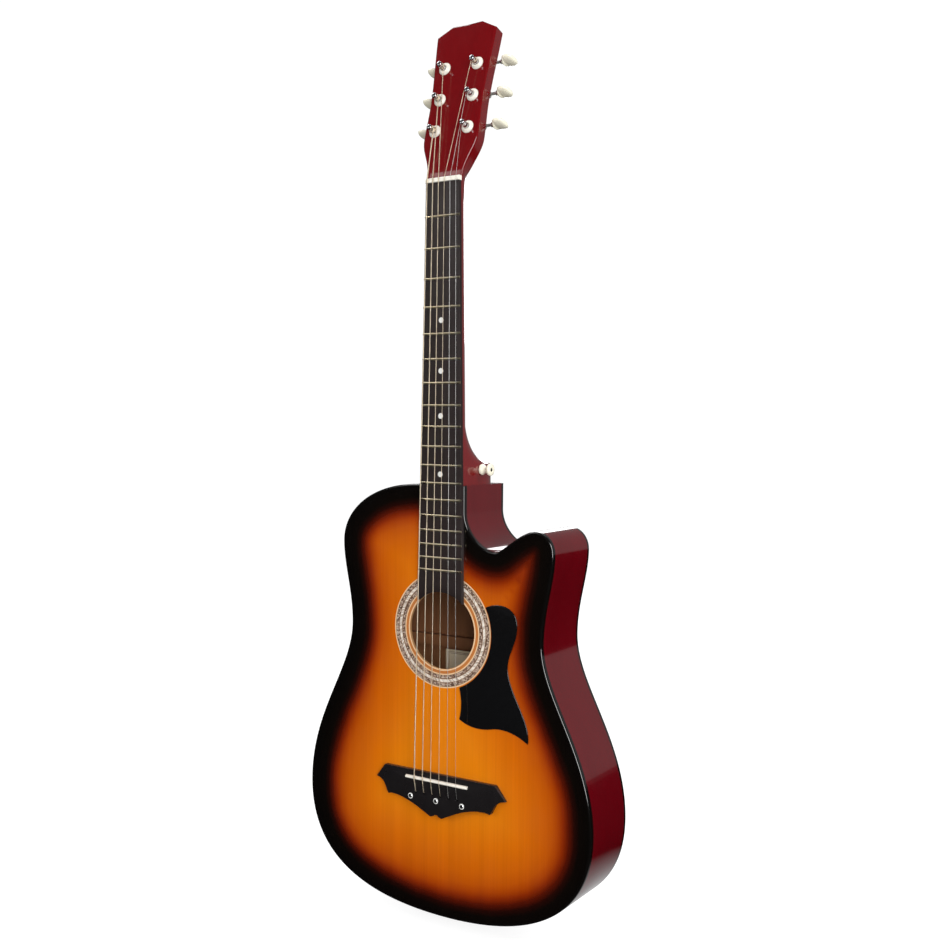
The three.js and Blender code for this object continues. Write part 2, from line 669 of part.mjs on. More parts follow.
// The board tapers to the nut and ends in an arc over the edge of the soundhole.
function fretboard() {
  const low = HOLE_Z + HOLE_RADIUS / 2;
  const [lowHalf, nutHalf] = [boardHalf(low), NUT_WIDTH / 2];
  const corners = [[-lowHalf, low], [lowHalf, low], [nutHalf, NUT_Z], [-nutHalf, NUT_Z]];
  const blank = plate(new THREE.Shape(corners.map(([x, z]) => new THREE.Vector2(x, z))), BOARD_TOP, FRONT);
  const end = barY(HOLE_RADIUS, 0, HOLE_Z, BOARD_TOP - REACH, FRONT + REACH, HOLE_SEGMENTS);
  const frets = Array.from({ length: FRET_COUNT }, (_, i) => fret(i + 1));
  return join([cut(blank, [end]), ...frets]);
}

function nut() {
  return box(-NUT_WIDTH / 2, NUT_TOP, NUT_Z, NUT_WIDTH / 2, FRONT, NUT_Z + NUT_LENGTH);
}

// ---------- tuners, in the head's frame ----------

const wormS = (s) => s + WORM_OFFSET;

// One ear of a plate: a small upright with a hole for the worm's shaft.
function ear(x, s) {
  const top = GEAR_MIDDLE + EAR.half;
  const bottom = HEAD_THICK + GAP + PLATE_THICK / 2;
  const shape = new THREE.Shape([
    new THREE.Vector2(wormS(s) - EAR.half, bottom), new THREE.Vector2(wormS(s) + EAR.half, bottom),
    new THREE.Vector2(wormS(s) + EAR.half, top), new THREE.Vector2(wormS(s) - EAR.half, top),
  ]);
  shape.holes.push(circlePath(wormS(s), GEAR_MIDDLE, SHAFT_RADIUS + GAP, SMALL_SEGMENTS));
  const geometry = new THREE.ExtrudeGeometry(shape, { depth: EAR.thick, bevelEnabled: false });
  const across = new THREE.Matrix4().set(0, 0, 1, x - EAR.thick / 2, 0, 1, 0, 0, 1, 0, 0, 0, 0, 0, 0, 1);
  return flipped(geometry.applyMatrix4(across));
}

// The same surface with its faces turned round, after a mirroring change of axes.
function flipped(geometry) {
  const bare = geometry.index ? geometry.toNonIndexed() : geometry;
  const positions = bare.getAttribute("position").array;
  for (let i = 0; i < positions.length; i += 9) {
    for (let k = 0; k < 3; k += 1) {
      [positions[i + 3 + k], positions[i + 6 + k]] = [positions[i + 6 + k], positions[i + 3 + k]];
    }
  }
  return bare;
}

function tunerPlate(sign) {
  const x = sign * POST_X;
  const low = TUNER_ROWS[0] - PLATE_MARGIN;
  const high = wormS(TUNER_ROWS[2]) + PLATE_MARGIN / 2;
  const [left, right] = [x - PLATE_HALF, x + PLATE_HALF];
  const corners = [[left, low], [right, low], [right, high], [left, high]];
  const shape = new THREE.Shape(corners.map(([u, s]) => new THREE.Vector2(u, s)));
  for (const s of TUNER_ROWS) shape.holes.push(circlePath(x, s, POST_RADIUS + GAP, ROUND_SEGMENTS));
  const strip = plate(shape, HEAD_THICK + GAP, PLATE_BACK);
  const ears = TUNER_ROWS.flatMap((s) => [ear(x - EAR.offset, s), ear(x + EAR.offset, s)]);
  return join([strip, ...ears]);
}

function gear() {
  const shape = new THREE.Shape();
  for (let i = 0; i < 2 * GEAR_TEETH; i += 1) {
    const radius = i % 2 ? GEAR_RADIUS : GEAR_RADIUS - TOOTH_DEPTH;
    const angle = (Math.PI * i) / GEAR_TEETH;
    const [u, s] = [radius * Math.cos(angle), radius * Math.sin(angle)];
    if (i) shape.lineTo(u, s);
    else shape.moveTo(u, s);
  }
  return plate(shape, GEAR_MIDDLE - GEAR_THICK / 2, GEAR_MIDDLE + GEAR_THICK / 2);
}

function post() {
  const end = GEAR_MIDDLE + GEAR_THICK / 2 - GAP;
  const profile = [[0, -POST_PROUD], [POST_RADIUS, -POST_PROUD], [POST_RADIUS, end], [0, end]];
  return join([turned(profile, ROUND_SEGMENTS), gear()]);
}

function bushing() {
  const bore = POST_RADIUS + GAP;
  const { flange, edge, crown, wall, proud, depth } = BUSHING;
  const sleeve = bore + wall;
  const profile = [[bore, -proud], [flange - crown, -proud], [flange, -GAP - edge], [flange, -GAP],
    [sleeve, -GAP], [sleeve, depth], [bore, depth], [bore, -proud]];
  return turned(profile, ROUND_SEGMENTS);
}

// The worm and its shaft, along X from the post outwards, before its side's sign is applied.
function wormShaft() {
  const wormHalf = EAR.offset - EAR.thick / 2 - GAP;
  const innerEnd = -EAR.offset - EAR.thick / 2 - SHAFT_PAST_EAR;
  const outerEnd = BUTTON.start + BUTTON.bore - SHAFT_SHY - POST_X;
  const profile = [[0, innerEnd], [SHAFT_RADIUS, innerEnd], [SHAFT_RADIUS, -wormHalf],
    [WORM_RADIUS, -wormHalf], [WORM_RADIUS, wormHalf], [SHAFT_RADIUS, wormHalf],
    [SHAFT_RADIUS, outerEnd], [0, outerEnd]];
  return turned(profile, SMALL_SEGMENTS);
}

// Radius and distance from the stem, as shares of the button's half width and length.
const BUTTON_PROFILE = [[0, 0], [0.42, 0], [0.8, 0.18], [1, 0.5], [0.84, 0.82], [0.45, 0.98], [0, 1]];

// An oval button along X with a blind hole for the shaft.
function button() {
  const { length, half, thick, bore } = BUTTON;
  const oval = turned(BUTTON_PROFILE.map(([r, y]) => [r * half, y * length]), ROUND_SEGMENTS);
  const hole = barY(SHAFT_RADIUS + GAP, 0, 0, -bore, bore, SMALL_SEGMENTS);
  return cut(oval.scale(1, 1, thick / 2 / half), [hole]);
}

// Places a piece turned about its own Y so that it points outwards along X.
function outwards(piece, sign, x, s) {
  piece.rotation.z = -sign * Math.PI / 2;
  piece.position.set(sign * x, GEAR_MIDDLE, wormS(s));
  return piece;
}

function tunerPieces() {
  const group = headGroup();
  POST_PLACES.forEach(({ sign, s }, i) => {
    const number = STRING_COUNT - i;
    const pin = mesh(`post_${number}`, post(), CHROME);
    const collar = mesh(`bushing_${number}`, bushing(), WHITE_PLASTIC);
    pin.position.set(sign * POST_X, 0, s);
    collar.position.copy(pin.position);
    const worm = outwards(mesh(`worm_shaft_${number}`, wormShaft(), CHROME), sign, POST_X, s);
    const knob = outwards(mesh(`button_${number}`, button(), CREAM_PLASTIC), sign, BUTTON.start, s);
    group.add(pin, collar, worm, knob);
  });
  group.add(mesh("tuner_plate_bass", tunerPlate(-1), CHROME));
  group.add(mesh("tuner_plate_treble", tunerPlate(1), CHROME));
  return group;
}

// ---------- strings ----------

// A route through chosen points, one step of the extrusion from each point to the next.
class Route extends THREE.Curve {
  constructor(points) {
    super();
    this.points = points;
  }

  getPoint(t) {
    const last = this.points.length - 1;
    const i = Math.min(Math.floor(t * last + 1e-6), last - 1);
    return this.points[i].clone().lerp(this.points[i + 1], t * last - i);
  }

  getPointAt(u) {
    return this.getPoint(u);
  }

  getTangentAt(u) {
    const last = this.points.length - 1;
    const i = Math.round(u * last);
    const before = this.points[Math.max(i - 1, 0)];
    const after = this.points[Math.min(i + 1, last)];
    const into = this.points[i].clone().sub(before).normalize();
    const out = after.clone().sub(this.points[i]).normalize();
    return into.add(out).normalize();
  }
}

function tube(points, radius) {
  const section = new THREE.Shape(circlePath(0, 0, radius, SMALL_SEGMENTS).getPoints().reverse());
  return new THREE.ExtrudeGeometry(section, { steps: points.length - 1, extrudePath: new Route(points) });
}

// From the ball under the bridge plate, up its hole, over the saddle and nut, to the post's side.
function stringPath(i) {
  const radius = STRING_RADII[i];
  const { sign, s } = POST_PLACES[i];
  const ballY = FRONT + TOP_THICK + BRIDGE_PLATE.thick + GAP + BALL_RADIUS;
  const x = stringXAtSaddle(i);
  const nutX = stringXAtNut(i);
  const onSaddle = SADDLE_TOP - GAP - radius;
  const onNut = NUT_TOP - GAP - radius;
  const postSide = sign * (POST_X - POST_RADIUS - GAP - radius);
  const atPost = new THREE.Vector3(postSide, -STRING_POST_HEIGHT, s).applyMatrix4(headGroup().matrixWorld);
  const saddleHalf = SADDLE.width / 2;
  return [
    new THREE.Vector3(x, ballY, STRING_HOLE_Z),
    new THREE.Vector3(x, BRIDGE_TOP + 0.5, STRING_HOLE_Z),
    new THREE.Vector3(x, BRIDGE_TOP - 1.2, STRING_HOLE_Z + 1),
    new THREE.Vector3(x, onSaddle, SADDLE_Z - saddleHalf),
    new THREE.Vector3(x, onSaddle, SADDLE_Z + saddleHalf),
    new THREE.Vector3(nutX, onNut, NUT_Z),
    new THREE.Vector3(nutX, onNut, NUT_Z + NUT_LENGTH),
    atPost,
  ];
}

function string(i) {
  const points = stringPath(i);
  const ball = new THREE.SphereGeometry(BALL_RADIUS, SMALL_SEGMENTS, 6);
  return join([tube(points, STRING_RADII[i]), ball.translate(...points[0].toArray())]);
}

function stringPieces() {
  return STRING_RADII.map((_, i) => mesh(`string_${STRING_COUNT - i}`, string(i), STEEL));
}

// ---------- strap holders ----------

// A spool turned about Y, its seat at 0 and its outer flange at its length.
function spool({ flange, waist, length }, shaft) {
  return [...shaft, [flange * 0.85, 0], [flange * 0.85, length * 0.2], [waist, length * 0.35],
    [waist, length * 0.6], [flange, length * 0.75], [flange, length * 0.93], [flange * 0.6, length],
    [0, length]];
}

// The spool stands on the heel's side, clear of the widest stretch that its flange covers.
function heelStrapButton() {
  const { z, half, depth, boxiness } = heelStation(STRAP_BUTTON_HEIGHT);
  const nearest = (STRAP_BUTTON_DEPTH - STRAP_BUTTON.flange) / depth;
  const power = sectionPower(boxiness);
  const seat = half * (1 - nearest ** (2 / power)) ** (power / 2) + GAP;
  const button = turned(spool(STRAP_BUTTON, [[0, 0]]), ROUND_SEGMENTS).rotateZ(-Math.PI / 2);
  return button.translate(seat, FRONT + STRAP_BUTTON_DEPTH, z);
}

function endPin() {
  const { shaft, shaftLength } = END_PIN;
  const profile = spool(END_PIN, [[0, -shaftLength], [shaft, -shaftLength], [shaft, 0]]);
  return turned(profile, ROUND_SEGMENTS).rotateX(-Math.PI / 2).translate(0, 0, -GAP);
}

// ---------- assembly ----------

const guitar = new THREE.Group();
guitar.add(...bodyPieces(), ...bridgePieces());
guitar.add(mesh("neck", neck(), CRIMSON));
guitar.add(mesh("fretboard", fretboard(), EBONY));
guitar.add(mesh("nut", nut(), WHITE_PLASTIC));
guitar.add(tunerPieces());
guitar.add(...stringPieces());
guitar.add(mesh("heel_strap_button", heelStrapButton(), CREAM_PLASTIC));
guitar.add(mesh("end_pin", endPin(), CREAM_PLASTIC));

export default guitar;
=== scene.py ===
# %% [markdown]
# # A cutaway acoustic guitar
# The object is a six-string acoustic guitar with a sunburst top, a bat-shaped bridge and open tuners.
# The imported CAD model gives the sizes, the bodies and the joints. This lesson builds the shapes and the
# finishes that a player sees, in the same frame: metres, +Z up the neck, front towards -Y.
# Starting from the CAD keeps every visible piece where a real part would have to be.
# %% Load the frame
import math

import bmesh
import bpy
import numpy as np
from mathutils import Matrix, Vector
from mathutils.geometry import delaunay_2d_cdt


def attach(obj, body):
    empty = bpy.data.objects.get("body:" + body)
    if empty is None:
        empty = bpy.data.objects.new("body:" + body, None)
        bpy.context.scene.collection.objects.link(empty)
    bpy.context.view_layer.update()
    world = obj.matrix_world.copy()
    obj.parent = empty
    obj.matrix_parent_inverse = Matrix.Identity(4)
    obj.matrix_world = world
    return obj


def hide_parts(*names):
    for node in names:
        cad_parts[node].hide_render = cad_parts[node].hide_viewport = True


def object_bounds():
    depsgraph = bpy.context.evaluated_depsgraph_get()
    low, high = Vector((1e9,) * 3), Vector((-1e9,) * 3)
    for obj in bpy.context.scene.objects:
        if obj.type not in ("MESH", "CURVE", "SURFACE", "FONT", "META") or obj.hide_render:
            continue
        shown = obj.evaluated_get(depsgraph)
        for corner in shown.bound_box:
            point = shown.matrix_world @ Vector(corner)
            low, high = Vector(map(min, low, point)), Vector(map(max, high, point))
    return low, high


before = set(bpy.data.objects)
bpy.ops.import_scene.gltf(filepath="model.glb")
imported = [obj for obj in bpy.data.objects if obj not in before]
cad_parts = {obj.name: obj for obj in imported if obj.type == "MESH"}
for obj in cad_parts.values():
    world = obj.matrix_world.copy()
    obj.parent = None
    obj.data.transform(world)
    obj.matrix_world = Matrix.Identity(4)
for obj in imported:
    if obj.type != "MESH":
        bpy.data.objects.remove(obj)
CAD_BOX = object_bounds()
print("CAD box, metres:", [tuple(round(x, 4) for x in corner) for corner in CAD_BOX])

# %% [markdown]
# ## Camera
# A camera is a place, a direction and a lens. Three unit vectors fix the direction: its right, its up
# and the way it looks. Writing them as the columns of a matrix turns the camera in one step, and no
# angle has to be guessed. A 45 mm lens a good metre away gives a natural picture of a whole guitar.
# %% Camera
CAMERA_PLACE = (0.7024, -1.0651, 0.5267)
CAMERA_RIGHT = (0.83777, 0.54597, 0.00729)
CAMERA_UP = (-0.02706, 0.02818, 0.99924)
CAMERA_AHEAD = (-0.54535, 0.83733, -0.03838)
LENS_MM = 45.1
SENSOR_MM = 36.0


def linked(name, data):
    """A new object in the scene that shows this data."""
    made = bpy.data.objects.new(name, data)
    bpy.context.scene.collection.objects.link(made)
    return made


def add_camera():
    data = bpy.data.cameras.new("camera")
    data.lens = LENS_MM
    data.sensor_width = SENSOR_MM
    camera = linked("camera", data)
    columns = zip(CAMERA_RIGHT, CAMERA_UP, [-x for x in CAMERA_AHEAD], CAMERA_PLACE)
    camera.matrix_world = Matrix([list(row) for row in columns] + [[0, 0, 0, 1]])
    bpy.context.scene.camera = camera
    return camera


print("camera at", tuple(round(x, 3) for x in add_camera().matrix_world.translation))

# %% [markdown]
# ## Small tools for nodes
# Shaders and Geometry Nodes are both trees of nodes with sockets. One helper makes a node, sets its
# options and fills its inputs: a socket is linked, and anything else becomes the input's value.
# %% Node helpers
def put(tree, kind, inputs=None, **options):
    node = tree.nodes.new(kind)
    for key, value in options.items():
        setattr(node, key, value)
    for key, value in (inputs or {}).items():
        if isinstance(value, bpy.types.NodeSocket):
            tree.links.new(value, node.inputs[key])
        else:
            node.inputs[key].default_value = value
    return node


def math_node(tree, operation, a, b=0.0, c=0.0):
    return put(tree, "ShaderNodeMath", {0: a, 1: b, 2: c}, operation=operation).outputs[0]


def linear(red, green, blue):
    """A colour given as 0 to 255 on the screen, as the linear values that shaders use."""
    def channel(value):
        share = value / 255
        return share / 12.92 if share <= 0.04045 else ((share + 0.055) / 1.055) ** 2.4
    return (channel(red), channel(green), channel(blue), 1.0)


def new_tree(name, kind, inputs, outputs):
    """A node group with named inputs (name, socket type, default) and outputs (name, socket type)."""
    tree = bpy.data.node_groups.new(name, kind)
    for label, socket, default in inputs:
        made = tree.interface.new_socket(label, in_out="INPUT", socket_type="NodeSocket" + socket)
        if default is not None:
            made.default_value = default
    for label, socket in outputs:
        tree.interface.new_socket(label, in_out="OUTPUT", socket_type="NodeSocket" + socket)
    return tree, put(tree, "NodeGroupInput").outputs, put(tree, "NodeGroupOutput")


def blend(tree, share, first, second, kind="MIX"):
    """Two colours mixed by share."""
    inputs = {0: share, 6: first, 7: second}
    return put(tree, "ShaderNodeMix", inputs, data_type="RGBA", blend_type=kind).outputs[2]


def noise(tree, place, scale, detail, roughness=0.5):
    inputs = {"Vector": place, "Scale": scale, "Detail": detail, "Roughness": roughness}
    return put(tree, "ShaderNodeTexNoise", inputs).outputs["Fac"]


def scaled(tree, place, by):
    return put(tree, "ShaderNodeVectorMath", {0: place, 1: by}, operation="MULTIPLY").outputs[0]


def object_place(tree):
    return put(tree, "ShaderNodeTexCoord").outputs["Object"]


def carried(tree, label):
    """A number that the mesh carries as an attribute."""
    return put(tree, "ShaderNodeAttribute", attribute_name=label).outputs["Fac"]


print("node helpers ready")

# %% [markdown]
# ## Shared surface effects
# Most surfaces here need one of three patterns: long wood fibres, the faint clouding of moulded plastic,
# or the fine brushing of metal. Each is a node group with a Mask output, made from noise on Object
# coordinates. Stretching the noise along the neck turns round blotches into fibres. A fourth group makes
# the smudges and haze that keep a gloss surface from looking like a mirror in a computer.
# %% Pattern groups
MARKS = [("Mask", "Float"), ("Pores", "Float")]
FIGURE_STRETCH = (0.06, 0.06, 0.3)  # how much broader the wood's figure is than its fibres
PORE_RANGE = (0.28, 0.42)
GRIT_SHARE, BRUSH_ALONG = 9.0, 90.0
SMUDGE_SCALE, SMUDGE_RANGE = 28.0, (0.35, 0.75)


def fibre_group():
    inputs = [("Across", "Float", 900.0), ("Along", "Float", 14.0), ("Contrast", "Float", 0.5)]
    tree, given, out = new_tree("wood_fibres", "ShaderNodeTree", inputs, MARKS)
    scale = put(tree, "ShaderNodeCombineXYZ", {0: given["Across"], 1: given["Across"], 2: given["Along"]})
    place = scaled(tree, object_place(tree), scale.outputs[0])
    fibres = noise(tree, place, 1.0, 4.0)
    figure = noise(tree, scaled(tree, place, FIGURE_STRETCH), 1.0, 3.0)
    centred = math_node(tree, "SUBTRACT", math_node(tree, "ADD", fibres, figure), 1.0)
    spread = math_node(tree, "MULTIPLY", centred, given["Contrast"])
    mask = put(tree, "ShaderNodeMath", {0: spread, 1: 0.5}, operation="ADD", use_clamp=True)
    pores = put(tree, "ShaderNodeMapRange", {0: fibres, 1: PORE_RANGE[0], 2: PORE_RANGE[1]})
    tree.links.new(mask.outputs[0], out.inputs["Mask"])
    tree.links.new(pores.outputs[0], out.inputs["Pores"])
    return tree


def cloud_group():
    tree, given, out = new_tree("moulded_clouds", "ShaderNodeTree", [("Size", "Float", 300.0)], MARKS)
    place = object_place(tree)
    tree.links.new(noise(tree, place, given["Size"], 3.0), out.inputs["Mask"])
    grit = math_node(tree, "MULTIPLY", given["Size"], GRIT_SHARE)
    tree.links.new(noise(tree, place, grit, 2.0), out.inputs["Pores"])
    return tree


def brushed_group():
    tree, given, out = new_tree("brushed_metal", "ShaderNodeTree", [("Lines", "Float", 4000.0)], MARKS)
    scale = put(tree, "ShaderNodeCombineXYZ", {0: BRUSH_ALONG, 1: given["Lines"], 2: given["Lines"]})
    lines = noise(tree, scaled(tree, object_place(tree), scale.outputs[0]), 1.0, 3.0)
    tree.links.new(lines, out.inputs["Mask"])
    tree.links.new(lines, out.inputs["Pores"])
    return tree


def smudge_group():
    inputs = [("Smooth", "Float", 0.1), ("Dull", "Float", 0.2)]
    tree, given, out = new_tree("handling_smudges", "ShaderNodeTree", inputs, [("Roughness", "Float")])
    blots = noise(tree, object_place(tree), SMUDGE_SCALE, 5.0, 0.6)
    low, high = SMUDGE_RANGE
    haze = put(tree, "ShaderNodeMapRange", {0: blots, 1: low, 2: high, 3: given["Smooth"], 4: given["Dull"]})
    tree.links.new(haze.outputs[0], out.inputs["Roughness"])
    return tree


FIBRES = fibre_group()
CLOUDS = cloud_group()
BRUSHED = brushed_group()
SMUDGES = smudge_group()
print("pattern groups:", [group.name for group in (FIBRES, CLOUDS, BRUSHED, SMUDGES)])

# %% [markdown]
# ## Finishes
# A finish mixes two close colours by a pattern, lets smudges change its roughness, and presses the
# pattern into the surface with a little bump. Lacquer adds a clear coat, which is a second, smoother
# shine over the coloured layer. Metals have no coat and a coloured shine.
# %% A function for most finishes
def use(tree, group, **values):
    node = put(tree, "ShaderNodeGroup", node_tree=group)
    for label, value in values.items():
        node.inputs[label].default_value = value
    return node.outputs


def press(tree, shader, height, distance, strength):
    """Presses a pattern into the surface, as deep as distance."""
    relief = put(tree, "ShaderNodeBump", {"Height": height, "Strength": strength, "Distance": distance})
    tree.links.new(relief.outputs[0], shader.inputs["Normal"])


COAT_ROUGHNESS = 0.04


def finish(name, colours, pattern, smooth, dull, bump=0.0, metallic=0.0, coat=0.0, tint=None, **sizes):
    """colours: two screen colours. tint(tree, colour socket) may change the mixed colour."""
    material = bpy.data.materials.new(name)
    material.use_nodes = True
    tree = material.node_tree
    shader = tree.nodes["Principled BSDF"]
    marks = use(tree, pattern, **sizes)
    colour = blend(tree, marks["Mask"], linear(*colours[0]), linear(*colours[1]))
    if tint:
        colour = tint(tree, colour)
    tree.links.new(colour, shader.inputs["Base Color"])
    tree.links.new(use(tree, SMUDGES, Smooth=smooth, Dull=dull)["Roughness"], shader.inputs["Roughness"])
    if bump:
        press(tree, shader, marks["Pores"], bump, 1.0)
    shader.inputs["Metallic"].default_value = metallic
    shader.inputs["Coat Weight"].default_value = coat
    shader.inputs["Coat Roughness"].default_value = COAT_ROUGHNESS
    return material


WINE = finish("wine_lacquer", ((74, 3, 9), (106, 6, 18)), FIBRES, 0.12, 0.2, coat=1.0,
              Across=500.0, Along=9.0)
CRIMSON = finish("crimson_neck_lacquer", ((90, 4, 9), (124, 9, 15)), FIBRES, 0.12, 0.2, coat=1.0,
                 Across=420.0, Along=7.0)
BLACK_EDGE = finish("black_binding", ((9, 8, 8), (14, 12, 11)), CLOUDS, 0.08, 0.16, coat=1.0)
BARE_WOOD = finish("bare_wood", ((150, 108, 68), (196, 154, 106)), FIBRES, 0.6, 0.8, 0.0001, Along=12.0)
BROWN_WOOD = finish("inner_back_wood", ((110, 68, 42), (160, 108, 68)), FIBRES, 0.6, 0.8, 0.0001,
                    Across=500.0)
GUARD_PLASTIC = finish("guard_plastic", ((12, 12, 13), (17, 17, 18)), CLOUDS, 0.1, 0.18, coat=0.6)
BRIDGE_BLACK = finish("bridge_black", ((16, 14, 15), (32, 29, 30)), FIBRES, 0.24, 0.36, 0.00004,
                      Across=1400.0, Along=120.0)
BOARD_WOOD = finish("fretboard_wood", ((24, 19, 19), (50, 40, 39)), FIBRES, 0.34, 0.48, 0.00005,
                    Across=1500.0, Along=30.0)
FRET_METAL = finish("fret_metal", ((240, 222, 182), (252, 240, 212)), BRUSHED, 0.26, 0.4, metallic=1.0)
WHITE_PLASTIC = finish("white_plastic", ((226, 220, 205), (240, 236, 226)), CLOUDS, 0.25, 0.38, coat=0.3)
PEARL = finish("dot_pearl", ((224, 224, 218), (246, 246, 242)), CLOUDS, 0.2, 0.3, coat=0.5, Size=1400.0)
CREAM = finish("cream_plastic", ((244, 238, 212), (252, 248, 230)), CLOUDS, 0.2, 0.34, coat=0.5, Size=160.0)
CHROME = finish("chrome", ((212, 212, 216), (240, 240, 243)), BRUSHED, 0.16, 0.3, metallic=1.0)
TUNER_STEEL = finish("tuner_steel", ((176, 175, 172), (214, 213, 208)), BRUSHED, 0.3, 0.44, metallic=0.7)
GEAR_BRASS = finish("gear_brass", ((182, 144, 78), (216, 180, 108)), BRUSHED, 0.3, 0.44, metallic=0.75)
PLAIN_STEEL = finish("plain_string_steel", ((236, 234, 230), (250, 249, 246)), BRUSHED, 0.3, 0.42,
                     metallic=0.85)
# painted shade: a dark grey set in screw slots, screw crosses and the bolts' sockets, where shade falls
PAINTED_RECESS_SHADE = finish("painted_recess_shade", ((18, 17, 17), (34, 32, 31)), CLOUDS, 0.5, 0.7)
PAPER = finish("label_paper", ((244, 218, 178), (254, 240, 210)), CLOUDS, 0.75, 0.9, Size=90.0)
LABEL_INK = finish("label_ink", ((120, 72, 44), (138, 88, 56)), CLOUDS, 0.7, 0.85, Size=300.0)
print("plain finishes:", len(bpy.data.materials))

# %% [markdown]
# ## The sunburst
# A sunburst is sprayed: black from the side at the very edge, then red-brown, orange and amber towards the
# middle, all under clear lacquer. Its colour depends mainly on the distance to the edge, so the top's mesh
# carries that distance as an attribute, and a colour ramp turns millimetres into colour. The spruce fibres
# darken it a little in lines along the neck. On top of that the burst is pushed darker towards the bass side
# as painted shade, and lighter near the tail as painted light.
# %% Sunburst lacquer
BURST_REACH = 120.0
BURST = [(0, (9, 7, 6)), (13, (13, 8, 6)), (19, (36, 9, 5)), (25, (86, 19, 3)), (31, (138, 42, 3)),
         (37, (172, 67, 3)), (44, (192, 84, 3)), (55, (206, 97, 3)), (80, (220, 112, 4)),
         (116, (234, 131, 8))]  # millimetres from the edge, colour
DRIFT_SCALE, DRIFT_MM = 22.0, 4.0
BASS_PAINTED_SHADE = 44.0  # painted shade: the dark edge reaches this many millimetres further in for every metre towards the bass side
TAIL_PAINTED_LIGHT, TAIL_REACH = 45.0, 0.08  # painted light: the dark edge reaches this many millimetres less far in for every metre into the last 80 mm at the tail


def ramp(tree, factor, stops):
    node = put(tree, "ShaderNodeValToRGB", {0: factor})
    elements = node.color_ramp.elements
    while len(elements) < len(stops):
        elements.new(0.5)
    for element, (position, colour) in zip(elements, stops):
        element.position = position
        element.color = linear(*colour)
    return node.outputs["Color"]


def sunburst(tree, fibre_colour):
    place = object_place(tree)
    drift = math_node(tree, "SUBTRACT", noise(tree, place, DRIFT_SCALE, 2.0), 0.5)
    wander = math_node(tree, "MULTIPLY", drift, DRIFT_MM)
    axes = put(tree, "ShaderNodeSeparateXYZ", {0: place}).outputs
    # painted shade darkens the bass side and painted light lightens the last 80 mm at the tail
    bass_side = math_node(tree, "MULTIPLY", math_node(tree, "MINIMUM", axes[0], 0.0), BASS_PAINTED_SHADE)
    tail_side = math_node(tree, "MAXIMUM", math_node(tree, "SUBTRACT", TAIL_REACH, axes[2]), 0.0)
    painted_light_and_shade = math_node(tree, "MULTIPLY_ADD", tail_side, TAIL_PAINTED_LIGHT, bass_side)
    wander = math_node(tree, "ADD", wander, painted_light_and_shade)
    edge = math_node(tree, "ADD", carried(tree, "edge_mm"), wander)
    share = math_node(tree, "DIVIDE", edge, BURST_REACH)
    sprayed = ramp(tree, share, [(at / BURST_REACH, colour) for at, colour in BURST])
    return blend(tree, 1.0, sprayed, fibre_colour, "MULTIPLY")


SUNBURST_AND_PAINTED_LIGHT = finish("sunburst_lacquer", ((226, 224, 222), (255, 255, 255)), FIBRES, 0.14, 0.24, coat=1.0,
                  tint=sunburst, Across=1500.0, Along=7.0, Contrast=0.9)
print("sunburst stops at", [at for at, _ in BURST], "mm from the edge")

# %% [markdown]
# ## Inlay and winding
# Two finishes read an attribute that their mesh carries. The rosette's mosaic gives each tile one tone.
# The bass strings are steel wound with bronze wire: the mesh knows how far along the string it is, and a
# sine wave of that length makes the turns.
# %% Mosaic and wound string
WINDING_PITCH_MM, WINDING_DEPTH, WINDING_STRENGTH = 0.32, 0.00006, 0.4


def inlay(name, colours, pattern, tint=None):
    """A finish under the same clear lacquer as the top."""
    return finish(name, colours, pattern, 0.14, 0.24, coat=1.0, tint=tint)


def mosaic(name, tones):
    """An inlay whose colour follows the tone that each tile carries."""
    def tint(tree, colour):
        return blend(tree, 1.0, ramp(tree, carried(tree, "tone"), tones), colour, "MULTIPLY")
    return inlay(name, ((238, 236, 232), (255, 255, 255)), CLOUDS, tint)


def wound_finish():
    material = finish("wound_string_bronze", ((238, 216, 182), (251, 238, 214)), BRUSHED, 0.3, 0.42,
                      metallic=0.85)
    tree = material.node_tree
    turn = math_node(tree, "MULTIPLY", carried(tree, "along_mm"), 2 * math.pi / WINDING_PITCH_MM)
    press(tree, tree.nodes["Principled BSDF"], math_node(tree, "SINE", turn), WINDING_DEPTH, WINDING_STRENGTH)
    return material


MOSAIC_BROWN = mosaic("mosaic_brown", [(0.0, (66, 52, 46)), (0.3, (122, 100, 88)), (0.55, (170, 140, 122)),
                                       (0.8, (208, 190, 174))])
MOSAIC_PALE = mosaic("mosaic_pale", [(0.0, (150, 142, 138)), (0.4, (206, 198, 192)), (0.8, (240, 236, 230))])
INLAY_TAN = inlay("inlay_tan", ((176, 104, 52), (200, 126, 68)), FIBRES)
INLAY_BROWN = inlay("inlay_brown", ((98, 74, 62), (126, 98, 82)), CLOUDS)
INLAY_CREAM = inlay("inlay_cream", ((216, 178, 134), (238, 208, 168)), CLOUDS)
WOUND_BRONZE = wound_finish()
print("finishes:", len(bpy.data.materials))

# %% [markdown]
# ## Making meshes
# Shapes are worked out in millimetres, as on a drawing, and scaled to metres when the mesh is made. The
# helper also turns the faces outwards, marks sharp edges by angle, and says which body the piece rides on and
# which CAD nodes it stands for.
# %% Mesh helpers
MM = 0.001
BEVEL_SHARP = 50  # degrees


def new_piece(name, mesh, body, stands_for):
    return settle_piece(linked(name, mesh), body, stands_for)


def settle_piece(piece, body, stands_for):
    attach(piece, body)
    if stands_for:
        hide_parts(*stands_for)
    return piece


